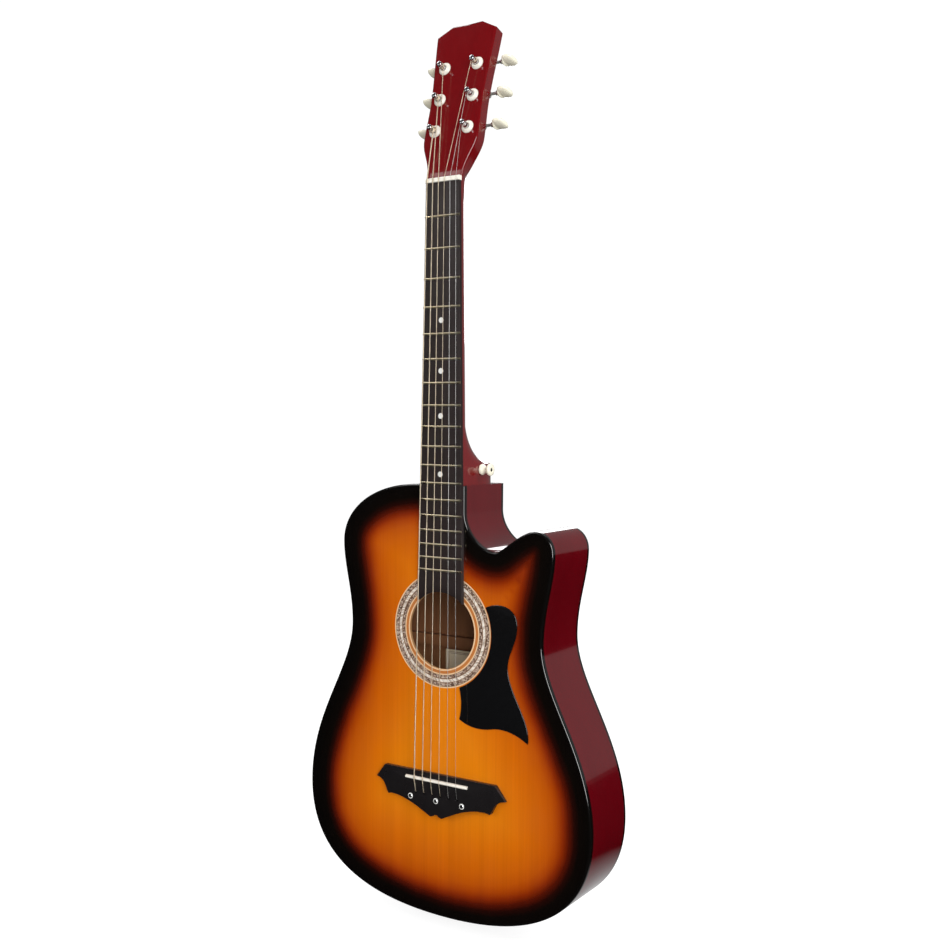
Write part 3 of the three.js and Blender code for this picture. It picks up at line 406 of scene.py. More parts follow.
def make_mesh(name, points_mm, faces, materials, sharp=35.0, values=None, outward=True, kinds=None):
    mesh = bpy.data.meshes.new(name)
    mesh.from_pydata([tuple(p) for p in np.asarray(points_mm, float) * MM], [], [list(f) for f in faces])
    for label, numbers in (values or {}).items():
        carrier = mesh.attributes.new(label, "FLOAT", "POINT")
        carrier.data.foreach_set("value", np.asarray(numbers, np.float32))
    for material in materials:
        mesh.materials.append(material)
    if kinds is not None:
        mesh.polygons.foreach_set("material_index", kinds)
    if outward:
        shape = bmesh.new()
        shape.from_mesh(mesh)
        bmesh.ops.recalc_face_normals(shape, faces=shape.faces)
        shape.to_mesh(mesh)
        shape.free()
    mesh.polygons.foreach_set("use_smooth", [True] * len(mesh.polygons))
    mesh.set_sharp_from_angle(angle=math.radians(sharp))
    return mesh


def bake(piece):
    """Applies a piece's live modifiers, so that only a plain mesh is left."""
    mesh = bpy.data.meshes.new_from_object(piece.evaluated_get(bpy.context.evaluated_depsgraph_get()))
    piece.modifiers.clear()
    piece.data = mesh
    return piece


def bevelled(mesh, width_mm, segments=3, angle=30.0):
    """The same mesh with its corners rounded."""
    holder = linked("rounding", mesh)
    bevel = holder.modifiers.new("round", "BEVEL")
    bevel.width = width_mm * MM
    bevel.segments = segments
    bevel.limit_method = "ANGLE"
    bevel.angle_limit = math.radians(angle)
    bake(holder)
    rounded = holder.data
    bpy.data.objects.remove(holder)
    rounded.polygons.foreach_set("use_smooth", [True] * len(rounded.polygons))
    rounded.set_sharp_from_angle(angle=math.radians(BEVEL_SHARP))
    return rounded


def joined(name, meshes, sharp=35.0):
    """Several meshes as one. Their materials are kept."""
    shape = bmesh.new()
    materials = []
    for mesh in meshes:
        first = len(shape.faces)
        shape.from_mesh(mesh)
        shape.faces.ensure_lookup_table()
        for face in shape.faces[first:]:
            material = mesh.materials[face.material_index]
            if material not in materials:
                materials.append(material)
            face.material_index = materials.index(material)
    result = bpy.data.meshes.new(name)
    shape.to_mesh(result)
    shape.free()
    for material in materials:
        result.materials.append(material)
    result.set_sharp_from_angle(angle=math.radians(sharp))
    return result


def moved(mesh, matrix):
    """A copy of the mesh at another place. The matrix is in metres."""
    copy = mesh.copy()
    copy.transform(matrix)
    if matrix.determinant() < 0:
        copy.flip_normals()
    return copy


def turned(name, profile, material, steps=48, sharp=30.0):
    """A solid of revolution about local Y from (radius, y) pairs, in millimetres."""
    points, faces, rings = [], [], []
    for radius, y in profile:
        if radius == 0:
            rings.append([len(points)])
            points.append((0, y, 0))
        else:
            rings.append(list(range(len(points), len(points) + steps)))
            angles = [2 * math.pi * i / steps for i in range(steps)]
            points += [(radius * math.cos(a), y, radius * math.sin(a)) for a in angles]
    for low, high in zip(rings, rings[1:]):
        for i in range(steps):
            j = (i + 1) % steps
            corners = [low[i % len(low)], low[j % len(low)], high[j % len(high)], high[i % len(high)]]
            faces.append(list(dict.fromkeys(corners)))
    return make_mesh(name, points, [f for f in faces if len(f) > 2], [material], sharp)


def skin(rings, size, closed=False):
    """Four-sided faces between neighbouring rings of points, with a cap on each end unless it closes."""
    faces = []
    for ring in range(rings if closed else rings - 1):
        start, after = ring * size, (ring + 1) % rings * size
        for k in range(size):
            m = (k + 1) % size
            faces.append([start + k, start + m, after + m, after + k])
    if not closed:
        faces += [list(range(size)), list(range((rings - 1) * size, rings * size))]
    return faces


def tube(path, radius, sides=10):
    """Points and faces of a round bar along a path, and how far along it each point is."""
    path = np.asarray(path, float)
    steps = np.diff(path, axis=0)
    lengths = np.linalg.norm(steps, axis=1)
    directions = steps / lengths[:, None]
    tangents = np.vstack([directions[:1], directions]) + np.vstack([directions, directions[-1:]])
    tangents /= np.linalg.norm(tangents, axis=1)[:, None]
    aside = (0.31, 0.17, 0.93) if abs(tangents[0][0]) > 0.5 else (1.0, 0.1, 0.05)
    normal = np.cross(tangents[0], aside)
    points, along = [], []
    travelled = np.concatenate([[0], np.cumsum(lengths)])
    for centre, tangent, far in zip(path, tangents, travelled):
        normal = normal - tangent * (normal @ tangent)
        normal /= np.linalg.norm(normal)
        binormal = np.cross(tangent, normal)
        for i in range(sides):
            angle = 2 * math.pi * i / sides
            points.append(centre + radius * (math.cos(angle) * normal + math.sin(angle) * binormal))
            along.append(far)
    return points, skin(len(path), sides), along


print("mesh helpers ready")

# %% [markdown]
# ## The outline of the body
# A guitar's body is drawn as one flat curve. Each stretch is a cubic curve with a direction and a handle
# length at both ends, which is how a draughtsman's spline keeps bouts and waist smooth. The bass half is
# the treble half mirrored, except that the treble shoulder is scooped out to let the hand reach the high
# frets.
# %% Body sizes and outline
BODY_LENGTH, BODY_DEPTH = 463.0, 79.0
FRONT, BACK = -BODY_DEPTH / 2, BODY_DEPTH / 2
SIDE_THICK, TOP_THICK, BACK_THICK = 2.2, 2.8, 2.8
BINDING_HEIGHT = 5.0
HOLE_RADIUS, HOLE_Z = 41.3, BODY_LENGTH - 154.6
CURVE_STEPS = 36


def cubic(p0, p1, p2, p3, steps=16):
    """A cubic curve's points, without its first one."""
    t = np.linspace(0, 1, steps + 1)[1:, None]
    p0, p1, p2, p3 = (np.array(p, float) for p in (p0, p1, p2, p3))
    return (1 - t) ** 3 * p0 + 3 * (1 - t) ** 2 * t * p1 + 3 * (1 - t) * t ** 2 * p2 + t ** 3 * p3


def stretch(start, start_way, start_reach, end, end_way, end_reach):
    """A curve from one place to another, each with a direction and a reach."""
    leaving = np.array(start) + np.array(start_way) * start_reach
    arriving = np.array(end) - np.array(end_way) * end_reach
    return cubic(start, leaving, arriving, end, CURVE_STEPS)


def body_outline():
    up, inwards = (0, 1), (-1, 0)
    tail, lower = (0, 0), (180, 119)
    waist, upper, shoulder = (121.5, BODY_LENGTH - 157), (134, BODY_LENGTH - 66), (30, BODY_LENGTH)
    horn, hollow, wall = (113, BODY_LENGTH - 43.5), (66, BODY_LENGTH - 67.5), (27.6, BODY_LENGTH - 28)
    shared = [stretch(tail, (1, 0), 131, lower, up, 70), stretch(lower, up, 81, waist, up, 53),
              stretch(waist, up, 35, upper, up, 28)]
    scoop = [stretch(upper, up, 12, horn, inwards, 12), stretch(horn, inwards, 17, hollow, inwards, 7),
             stretch(hollow, inwards, 17, wall, up, 22), np.array([[wall[0], BODY_LENGTH]])]
    treble = np.vstack(shared + scoop)
    bass = np.vstack(shared + [stretch(upper, up, 37, shoulder, inwards, 61)]) * (-1, 1)
    return np.vstack([[tail], treble, [(0, BODY_LENGTH)], bass[::-1]])


def inset(outline, distance):
    """The closed outline moved inwards, with mitred corners."""
    into = outline - np.roll(outline, 1, axis=0)
    out = np.roll(outline, -1, axis=0) - outline
    into /= np.linalg.norm(into, axis=1)[:, None]
    out /= np.linalg.norm(out, axis=1)[:, None]
    bisector = np.stack([-(into[:, 1] + out[:, 1]), into[:, 0] + out[:, 0]], axis=1)
    bisector /= np.linalg.norm(bisector, axis=1)[:, None]
    square = bisector[:, 0] * -into[:, 1] + bisector[:, 1] * into[:, 0]
    return outline + bisector * (distance / square)[:, None]


def edge_distance(outline, places):
    """How far each place is from the outline."""
    nearest = np.full(len(places), 1e9)
    for start, end in zip(outline, np.roll(outline, -1, axis=0)):
        along = end - start
        share = np.clip(((places - start) @ along) / (along @ along), 0, 1)
        nearest = np.minimum(nearest, np.linalg.norm(places - (start + share[:, None] * along), axis=1))
    return nearest


def is_inside(outline, places):
    x, z = places[:, 0], places[:, 1]
    inside = np.zeros(len(places), bool)
    for (x0, z0), (x1, z1) in zip(outline, np.roll(outline, -1, axis=0)):
        crosses = (z0 > z) != (z1 > z)
        inside ^= crosses & (x < (x1 - x0) * (z - z0) / (z1 - z0 + 1e-12) + x0)
    return inside


OUTLINE = body_outline()
print("outline points:", len(OUTLINE), "width:", round(float(np.ptp(OUTLINE[:, 0])), 1), "mm")

# %% [markdown]
# ## Flat plates
# The soundboard, the back, the pickguard and the bridge are plates cut to an outline, some with holes.
# Delaunay triangulation fills such a region with well shaped triangles. Extra points inside the region
# let an attribute, such as the distance to the edge, change smoothly over it.
# %% Plates from an outline
def circle(radius, x=0.0, z=0.0, steps=64):
    angles = np.arange(steps) * 2 * math.pi / steps
    return np.stack([x + radius * np.cos(angles), z + radius * np.sin(angles)], axis=1)


def rectangle(x0, x1, z0, z1):
    return np.array([(x0, z0), (x1, z0), (x1, z1), (x0, z1)], float)


def fill(outline, holes=(), extra=()):
    """2D points and triangles of the region inside the outline and outside the holes."""
    loops = [outline, *holes]
    points = [Vector(p) for loop in loops for p in loop] + [Vector(p) for p in extra]
    edges, first = [], 0
    for loop in loops:
        edges += [(first + i, first + (i + 1) % len(loop)) for i in range(len(loop))]
        first += len(loop)
    found, _, faces, *_ = delaunay_2d_cdt(points, edges, [], 0, 1e-5)
    found = np.array([tuple(p) for p in found])
    faces = np.array([list(f) for f in faces])
    centres = found[faces].mean(axis=1)
    keep = is_inside(outline, centres)
    for hole in holes:
        keep &= ~is_inside(hole, centres)
    return found, faces[keep]


def plate(name, outline, y0, y1, materials, holes=(), extra=(), values=None, sharp=35.0):
    """A plate from the plane y0 back to y1. materials: front, back and wall, or only one."""
    flat, triangles = fill(outline, holes, extra)
    count = len(flat)
    points = [(x, y0, z) for x, z in flat] + [(x, y1, z) for x, z in flat]
    faces = [list(t) for t in triangles] + [[a + count for a in t[::-1]] for t in triangles]
    kinds = [0] * len(triangles) + [1 % len(materials)] * len(triangles)
    used = {}
    for a, b, c in triangles:
        for edge in ((a, b), (b, c), (c, a)):
            used[edge] = used.get(edge, 0) + 1
    walls = [[a, b, b + count, a + count] for a, b in used if (b, a) not in used]
    faces += walls
    kinds += [2 % len(materials)] * len(walls)
    numbers = {label: list(of(flat)) * 2 for label, of in (values or {}).items()}
    return make_mesh(name, points, faces, materials, sharp, numbers, True, kinds)


def swept_band(name, outline, section, materials, closed=True, kinds_of=None, sharp=30.0, keep=None):
    """A section of (inset, y) corners carried round the outline."""
    insets = sorted({distance for distance, _ in section})
    loops = {distance: inset(outline, distance) for distance in insets}
    order = range(len(outline)) if keep is None else keep
    points = [(loops[d][i][0], y, loops[d][i][1]) for i in order for d, y in section]
    size, length = len(section), len(order)
    kinds = (kinds_of or [0] * size) * (length if closed else length - 1) + ([] if closed else [0, 0])
    values = {"edge_mm": [d for _ in order for d, _ in section]}
    return make_mesh(name, points, skin(length, size, closed), materials, sharp, values, True, kinds)


print("plate helpers ready")

# %% [markdown]
# ## Soundboard, back and sides
# The soundboard is a thin spruce plate with the soundhole. Its outside is sprayed and its underside is
# bare. The sides are strips bent over a hot iron, and the binding is a black strip glued into a ledge
# round both edges to guard the end grain. Its corner is rounded, which is what catches a line of light.
# %% Build the body shell
SCALE_MM, TWELFTH_PAST_BODY, COMPENSATION = 630.0, 2.0, 2.0
NUT_Z = BODY_LENGTH + TWELFTH_PAST_BODY + SCALE_MM / 2
SADDLE_Z = NUT_Z - SCALE_MM - COMPENSATION
STRING_COUNT = 6
SPREAD_NUT, SPREAD_SADDLE = 36.0, 53.0
GRID_MM, GRID_HALF, GRID_START = 7.0, 176, 4
GRID_MARGIN, HOLE_MARGIN = 36.0, 3.0
BURST_RINGS = range(8, 33, 6)  # loops of points that carry the sunburst, millimetres from the edge


def spread(i, width):
    return width * (i / (STRING_COUNT - 1) - 0.5)


def body_grid():
    """Points over the middle of the top, clear of its edge and of the soundhole."""
    xs = np.arange(-GRID_HALF, GRID_HALF + 1, GRID_MM)
    places = np.array([(x, z) for z in np.arange(GRID_START, BODY_LENGTH, GRID_MM) for x in xs])
    clear = is_inside(OUTLINE, places) & (edge_distance(OUTLINE, places) > GRID_MARGIN)
    return places[clear & (np.hypot(places[:, 0], places[:, 1] - HOLE_Z) > HOLE_RADIUS + HOLE_MARGIN)]


def soundboard():
    rings = [inset(OUTLINE, distance) for distance in BURST_RINGS]
    extra = np.vstack([ring[is_inside(OUTLINE, ring)][::2] for ring in rings] + [body_grid()])
    values = {"edge_mm": lambda flat: edge_distance(OUTLINE, flat)}
    mesh = plate("soundboard_spruce", inset(OUTLINE, SIDE_THICK), FRONT, FRONT + TOP_THICK,
                 [SUNBURST_AND_PAINTED_LIGHT, BARE_WOOD, BARE_WOOD], [circle(HOLE_RADIUS, 0, HOLE_Z, 96)], extra, values)
    return new_piece("soundboard_spruce", mesh, "root", ["soundboard"])


def back_plate():
    mesh = plate("back_plate", inset(OUTLINE, SIDE_THICK), BACK - BACK_THICK, BACK,
                 [BROWN_WOOD, WINE, BROWN_WOOD])
    return new_piece("back_plate", mesh, "root", ["back"])


ROUNDING_MM = 1.7


def binding(name, y_out, towards, material, node):
    """y_out is the outer face's plane and towards is +1 or -1, from that face into the body."""
    corner = [(ROUNDING_MM * (1 - math.cos(a)), y_out + towards * ROUNDING_MM * (1 - math.sin(a)))
              for a in np.linspace(0, math.pi / 2, 6)]
    section = [(0.0, y_out + towards * BINDING_HEIGHT), *corner, (SIDE_THICK, y_out),
               (SIDE_THICK, y_out + towards * BINDING_HEIGHT)]
    mesh = swept_band(name, OUTLINE, section, [material])
    return new_piece(name, mesh, "root", [node])


def side(name, keep, node):
    y0, y1 = FRONT + BINDING_HEIGHT, BACK - BINDING_HEIGHT
    section = [(0.0, y0), (0.0, y1), (SIDE_THICK, y1), (SIDE_THICK, y0)]
    mesh = swept_band(name, OUTLINE, section, [WINE, BROWN_WOOD], False, [0, 0, 1, 0], keep=keep)
    return new_piece(name, mesh, "root", [node])


NECK_SEAM = next(i for i, (x, z) in enumerate(OUTLINE) if x == 0 and z == BODY_LENGTH)
soundboard()
back_plate()
binding("top_edge_binding", FRONT, 1, BLACK_EDGE, "top_binding")
binding("back_edge_binding", BACK, -1, BLACK_EDGE, "back_binding")
side("treble_bent_side", range(NECK_SEAM + 1), "treble_side")
side("bass_bent_side", [*range(NECK_SEAM, len(OUTLINE)), 0], "bass_side")

# %% [markdown]
# ## Rosette
# The rings round the soundhole are inlaid: cream lines, tan wood between them and bands of small tiles.
# A ring of tiles repeats one block round a circle, which is a job for Geometry Nodes. The tree below puts
# points on a circle, sets a block on each, turns it to face the centre with a slant, and stores a random
# tone on it. The lines are plain rings, each a hair prouder than its neighbour so that edges catch light.
# %% A Geometry Nodes tree for rings of tiles
def run_tree(name, tree, settings, body, stands_for=(), start=None):
    """Builds a piece with a Geometry Nodes tree and keeps only the plain mesh."""
    piece = linked(name, start or bpy.data.meshes.new(name))
    modifier = piece.modifiers.new("nodes", "NODES")
    modifier.node_group = tree
    for item in tree.interface.items_tree:
        if item.item_type == "SOCKET" and item.in_out == "INPUT" and item.name in settings:
            modifier[item.identifier] = settings[item.name]
    bake(piece)
    return settle_piece(piece, body, stands_for)


GEOMETRY = [("Geometry", "Geometry")]


def end_tree(tree, out, geometry, material):
    real = put(tree, "GeometryNodeRealizeInstances", {0: geometry}).outputs[0]
    dressed = put(tree, "GeometryNodeSetMaterial", {"Geometry": real, "Material": material}).outputs[0]
    tree.links.new(dressed, out.inputs[0])


UPRIGHT = (math.pi / 2, 0, 0)  # the turn that stands a flat thing up to face the front


def tile_ring_tree():
    inputs = [("Radius", "Float", 0.05), ("Width", "Float", 0.003), ("Length", "Float", 0.001),
              ("Depth", "Float", 0.001), ("Slant", "Float", 0.5), ("Count", "Int", 100), ("Seed", "Int", 1),
              ("Centre", "Vector", None), ("Material", "Material", None)]
    tree, given, out = new_tree("tile_ring", "GeometryNodeTree", inputs, GEOMETRY)
    ring = put(tree, "GeometryNodeCurvePrimitiveCircle",
               {"Resolution": given["Count"], "Radius": given["Radius"]})
    spots = put(tree, "GeometryNodeCurveToPoints", {"Curve": ring.outputs[0]}, mode="EVALUATED").outputs[0]
    size = put(tree, "ShaderNodeCombineXYZ", {0: given["Width"], 1: given["Length"], 2: given["Depth"]})
    block = put(tree, "GeometryNodeMeshCube", {"Size": size.outputs[0]}).outputs[0]
    number = put(tree, "GeometryNodeInputIndex").outputs[0]
    turn = math_node(tree, "DIVIDE", math_node(tree, "MULTIPLY", number, 2 * math.pi), given["Count"])
    way = put(tree, "ShaderNodeCombineXYZ", {2: math_node(tree, "ADD", turn, given["Slant"])}).outputs[0]
    tiles = put(tree, "GeometryNodeInstanceOnPoints", {"Points": spots, "Instance": block, "Rotation": way})
    tone = put(tree, "FunctionNodeRandomValue", {"Seed": given["Seed"]}, data_type="FLOAT")
    stored = put(tree, "GeometryNodeStoreNamedAttribute",
                 {"Geometry": tiles.outputs[0], "Name": "tone", "Value": tone.outputs[1]},
                 data_type="FLOAT", domain="INSTANCE")
    real = put(tree, "GeometryNodeRealizeInstances", {0: stored.outputs[0]}).outputs[0]
    standing = {"Geometry": real, "Rotation": UPRIGHT, "Translation": given["Centre"]}
    end_tree(tree, out, put(tree, "GeometryNodeTransform", standing).outputs[0], given["Material"])
    return tree


TILE_RING = tile_ring_tree()
print("tile ring inputs:", [item.name for item in TILE_RING.interface.items_tree])

# %% Lines and tiles of the rosette
INLAY_DEPTH = 1.0
ROSETTE_LINES = [  # inner radius, outer radius, how proud, finish
    (41.5, 43.0, 0.10, INLAY_CREAM), (43.0, 46.2, 0.06, INLAY_TAN), (46.2, 47.5, 0.10, INLAY_CREAM),
    (47.5, 52.0, 0.04, INLAY_BROWN), (52.0, 55.2, 0.04, INLAY_CREAM), (55.2, 60.1, 0.04, INLAY_BROWN),
    (60.1, 61.4, 0.10, INLAY_CREAM)]


def ring_mesh(name, inner, outer, y0, y1, material, steps=96):
    profile = [(inner, y0), (outer, y0), (outer, y1), (inner, y1), (inner, y0)]
    mesh = turned(name, profile, material, steps)
    mesh.transform(Matrix.Translation((0, 0, HOLE_Z * MM)))
    return mesh


rings = [ring_mesh("ring", inner, outer, FRONT - proud, FRONT + INLAY_DEPTH, finish_of)
         for inner, outer, proud, finish_of in ROSETTE_LINES]
new_piece("rosette_lines", joined("rosette_lines", rings), "root", ["rosette"])
TILE_ROWS = [  # name, radius, width, length, slant, count, seed, finish
    ("rosette_rope", 53.6, 3.5, 0.95, 0.65, 230, 3, MOSAIC_PALE),
    ("rosette_mosaic_outer_a", 56.4, 1.1, 1.2, 0.0, 250, 5, MOSAIC_BROWN),
    ("rosette_mosaic_outer_b", 57.7, 1.1, 1.2, 0.0, 256, 8, MOSAIC_BROWN),
    ("rosette_mosaic_outer_c", 59.0, 1.1, 1.2, 0.0, 262, 13, MOSAIC_BROWN),
    ("rosette_mosaic_inner_a", 48.6, 1.1, 1.2, 0.0, 216, 21, MOSAIC_BROWN),
    ("rosette_mosaic_inner_b", 50.2, 1.3, 1.2, 0.0, 222, 34, MOSAIC_BROWN)]
TILE_PROUD = 0.09
for name, radius, width, length, slant, count, seed, tile_finish in TILE_ROWS:
    run_tree(name, TILE_RING, {
        "Radius": radius * MM, "Width": width * MM, "Length": length * MM, "Depth": INLAY_DEPTH * MM,
        "Slant": slant, "Count": count, "Seed": seed, "Material": tile_finish,
        "Centre": (0, (FRONT + INLAY_DEPTH / 2 - TILE_PROUD) * MM, HOLE_Z * MM)}, "root")
print("rosette tiles:", sum(row[5] for row in TILE_ROWS))

# %% [markdown]
# ## Pickguard
# The pickguard is a leaf of black plastic glued beside the rosette. It is one flat outline: an arc that
# hugs the rosette, then five free curves down to a tip. A small bevel gives it the rolled edge of a
# stamped sheet.
# %% Pickguard
GUARD_THICK, GUARD_RADIUS, GUARD_EDGE = 1.4, 62.6, 0.6
GUARD_ARC = (-68, 28)  # degrees round the soundhole
GUARD_CURVES = [  # two handles and an end each, from the soundhole's middle
    ((70, 37), (93, 34), (93.6, 14)), ((94, -5), (82.5, -15), (82.7, -31)),
    ((83, -56), (112, -83), (107.3, -106)), ((99, -100), (80, -92), (62, -97)),
    ((48, -100), (34, -98), (23.7, -91.5))]
GUARD_LAST_HANDLES = ((27.5, -79), (26, -67))


def guard_outline():
    angles = np.radians(np.linspace(*GUARD_ARC, 40))
    arc = np.stack([GUARD_RADIUS * np.cos(angles), GUARD_RADIUS * np.sin(angles)], axis=1)
    runs, at = [arc], arc[-1]
    for first, second, end in GUARD_CURVES:
        runs.append(cubic(at, first, second, end))
        at = end
    runs.append(cubic(at, *GUARD_LAST_HANDLES, arc[0])[:-1])
    return np.vstack(runs) + (0, HOLE_Z)


guard = plate("pickguard_leaf", guard_outline(), FRONT - GUARD_THICK, FRONT, [GUARD_PLASTIC])
new_piece("pickguard_leaf", bevelled(guard, GUARD_EDGE, 3, 40), "root", ["pickguard"])
print("pickguard corners:", len(guard_outline()))

# %% [markdown]
# ## Bridge, saddle and bolts
# The bridge is a black block with bat-like wings. Its outline has sharp tips with hollow curves between
# them. The plate is made flat and bevelled first, and then each point's height is scaled down towards the
# tips, so that the wings slope and the bevel slopes with them. The saddle is a white bar let into it, and
# three bolts hold it down.
# %% Bridge
BRIDGE_HEIGHT, TIP_HEIGHT, BLOCK_HALF, BRIDGE_HALF = 9.0, 3.4, 42.0, 83.0
STRING_HOLE_Z, BOLT_Z, BOLT_PITCH = SADDLE_Z - 15, SADDLE_Z - 20.5, 33.0
BRIDGE_TOP = FRONT - BRIDGE_HEIGHT
HALF_BRIDGE = [  # a corner, then the handles of the hollow curve to the next, or None where it is straight
    ((70.7, 6.7), None), ((83, -8.4), ((79, -8.6), (76, -9.6))),
    ((72.6, -12.4), ((70.4, -14.6), (68.4, -19))), ((65.5, -24.3), ((60, -21.8), (48, -22))),
    ((36, -26), ((26, -29), (15, -35))), ((7, -38.6), None), ((3.2, -37.2), None), ((1.5, -35.6), None)]
RIB_XS, RIB_ZS = range(-77, 78, 7), (-14, -8, -2, 4)  # points inside, so that the wings can slope
STRING_HOLE_RADIUS, BRIDGE_EDGE, RIB_MARGIN = 1.5, 1.3, 3.0


def bridge_outline():
    right = []
    for (corner, handles), (after, _) in zip(HALF_BRIDGE, [*HALF_BRIDGE[1:], (None, None)]):
        right.append(np.array([corner], float))
        if handles:
            right.append(cubic(corner, *handles, after, 8)[:-1])
    right = np.vstack(right)
    left = right[::-1] * (-1, 1)
    return np.vstack([right, left])[::-1] + (0, SADDLE_Z)


def bridge():
    ribs = np.array([(x, SADDLE_Z + z) for x in RIB_XS for z in RIB_ZS])
    holes = [circle(STRING_HOLE_RADIUS, spread(i, SPREAD_SADDLE), STRING_HOLE_Z, 16)
             for i in range(STRING_COUNT)]
    outline = bridge_outline()
    spots = ribs[is_inside(outline, ribs) & (edge_distance(outline, ribs) > RIB_MARGIN)]
    flat = plate("bridge_block", outline, BRIDGE_TOP, FRONT, [BRIDGE_BLACK], holes, spots)
    mesh = bevelled(flat, BRIDGE_EDGE, 3, 40)
    for vertex in mesh.vertices:
        share = min(max((abs(vertex.co.x) / MM - BLOCK_HALF) / (BRIDGE_HALF - BLOCK_HALF), 0), 1)
        height = BRIDGE_HEIGHT + (TIP_HEIGHT - BRIDGE_HEIGHT) * share
        vertex.co.y = FRONT * MM + (vertex.co.y - FRONT * MM) * height / BRIDGE_HEIGHT
    mesh.set_sharp_from_angle(angle=math.radians(40))
    return new_piece("bridge_block", mesh, "root", ["bridge"])


bridge()

# %% Saddle
SADDLE_LENGTH, SADDLE_WIDTH, SADDLE_PROUD, SADDLE_SLOT = 79.0, 3.0, 2.0, 4.0
SADDLE_TOP = BRIDGE_TOP - SADDLE_PROUD


def rounded_bar(name, xs, tops, half_width, z, bottom, material, crown=6):
    """A bar along X whose top is a half round. tops gives its height at each x."""
    arc = [math.pi * i / crown for i in range(crown + 1)]
    section = [(half_width * math.cos(a), half_width * math.sin(a)) for a in arc]
    points = []
    for x, top in zip(xs, tops):
        points += [(x, bottom, z + half_width), (x, bottom, z - half_width)]
        points += [(x, top + half_width - rise, z - across) for across, rise in section]
    return make_mesh(name, points, skin(len(xs), crown + 3), [material], 40)


SADDLE_ENDS = [(0.0, 0.9), (0.15, 0.5), (0.5, 0.15), (1.0, 0.0)]  # distance from the end, how much lower
saddle_xs = [-SADDLE_LENGTH / 2 + e for e, _ in SADDLE_ENDS]
saddle_xs += [-x for x in reversed(saddle_xs)]
saddle_tops = [SADDLE_TOP + drop for _, drop in SADDLE_ENDS + SADDLE_ENDS[::-1]]
saddle = rounded_bar("saddle_bar", saddle_xs, saddle_tops, SADDLE_WIDTH / 2, SADDLE_Z,
                     BRIDGE_TOP + SADDLE_SLOT, WHITE_PLASTIC)
new_piece("saddle_bar", saddle, "root", ["saddle"])
print("saddle top plane:", SADDLE_TOP, "mm")

# %% Bolts
# Each profile lists (radius, height from the bridge's top), with minus towards the player.
WASHER_PROFILE = [(0, 0.2), (2.2, 0.2), (3.0, 0.1), (3.0, -0.35), (2.75, -0.5), (2.1, -0.5), (0, -0.45)]
BOLT_PROFILE = [(0, 0), (2.2, 0), (2.2, -0.7), (1.9, -1.05), (1.1, -1.2), (0.95, -1.15), (0.9, -0.5)]
# the dark disc at the bottom of each bolt's socket is painted shade
RECESS_PROFILE = [(0, -0.3), (0.98, -0.3), (0.98, -0.75), (0, -0.72)]
NUT_NEAR, NUT_FAR, NUT_RADIUS = BRIDGE_HEIGHT + 5.3, BRIDGE_HEIGHT + 7.9, 3.6


def at_place(mesh, x, y, z):
    return moved(mesh, Matrix.Translation((x * MM, y * MM, z * MM)))


def bolt_meshes():
    nut_profile = [(0, NUT_NEAR), (NUT_RADIUS, NUT_NEAR), (NUT_RADIUS, NUT_FAR), (0, NUT_FAR)]
    return [turned("washer", WASHER_PROFILE, PEARL, 40), turned("head", BOLT_PROFILE, CHROME, 40),
            turned("recess", RECESS_PROFILE, PAINTED_RECESS_SHADE, 12), turned("nut", nut_profile, CHROME, 6)]


BOLT_XS = (-BOLT_PITCH, 0.0, BOLT_PITCH)
for number, x in enumerate(BOLT_XS, 1):
    parts = [at_place(mesh, x, BRIDGE_TOP, BOLT_Z) for mesh in bolt_meshes()]
    name = f"bolt_{number}"
    new_piece(name, joined(name, parts), "root", [f"bridge_bolt_{number}"])
print("bolts at x =", BOLT_XS)

# %% [markdown]
# ## Neck, heel and headstock
# A neck is carved from one blank, so it is modelled as one skin stretched over cross-sections: a deep,
# boxy heel, a slim half-oval where the hand goes, and the flat tilted head. Every section has the same
# number of points, so one section can melt into the next. The head's sections lie in its own tilted
# frame, and the last ones follow the two low peaks of its top edge.
# %% Neck sizes
NUT_WIDTH, BODY_WIDTH, NUT_LENGTH = 42.4, 52.4, 5.0
NECK_DEPTH_NUT, NECK_DEPTH_BODY = 17.0, 19.0
HEEL_DEPTH, HEEL_LENGTH, HEEL_TIP = BODY_DEPTH - 11, 62.0, 22.0
HEEL_HOLLOW, HEEL_BOXINESS, BOX_POWER = 1.25, 0.7, 0.58
HEAD_TILT, HEAD_THICK, HEAD_RISE = math.radians(14.2), 15.0, 2.5
HEAD_ROUNDING, HEAD_HALF, HEAD_SHOULDER, HEAD_LEVEL = 1.6, 37.6, 172.0, 163.0
ARC_STEPS = 16
FRONT_BENDS = (0.5, 1.05, math.pi / 2)  # angles of the points that round the front edges
HEAD_SIDES = [((22, 7), (23.5, 27), (34, 36), (34.2, 50)), ((34.2, 50), (34.2, 66), (32.6, 80), (33, 96)),
              ((33, 96), (33.4, 118), (36.6, 148), (HEAD_HALF, HEAD_SHOULDER))]
HEAD_TOP_X, HEAD_TOP_S = [0, 8, 17.5, HEAD_HALF], [180.6, 181, 182, HEAD_SHOULDER]
HEAD_TO_WORLD = Matrix(((1, 0, 0, 0),
                        (0, math.cos(HEAD_TILT), math.sin(HEAD_TILT), (FRONT - HEAD_RISE) * MM),
                        (0, -math.sin(HEAD_TILT), math.cos(HEAD_TILT), NUT_Z * MM), (0, 0, 0, 1)))
HEAD_EDGE = np.vstack([cubic(*curve, 24) for curve in HEAD_SIDES])
# How square the section is, by the height past the nut and then by the distance along the head
SHAFT_TO_SQUARE = ((-14, 0.03), (-6, 0.12), (0, 0.22), (4, 0.34))
HEAD_TO_SQUARE = ((11, 0.55), (15, 0.75), (20, 0.9), (26, 0.97))


def board_half(z):
    return (NUT_WIDTH + (BODY_WIDTH - NUT_WIDTH) * (NUT_Z - z) / (NUT_Z - BODY_LENGTH)) / 2


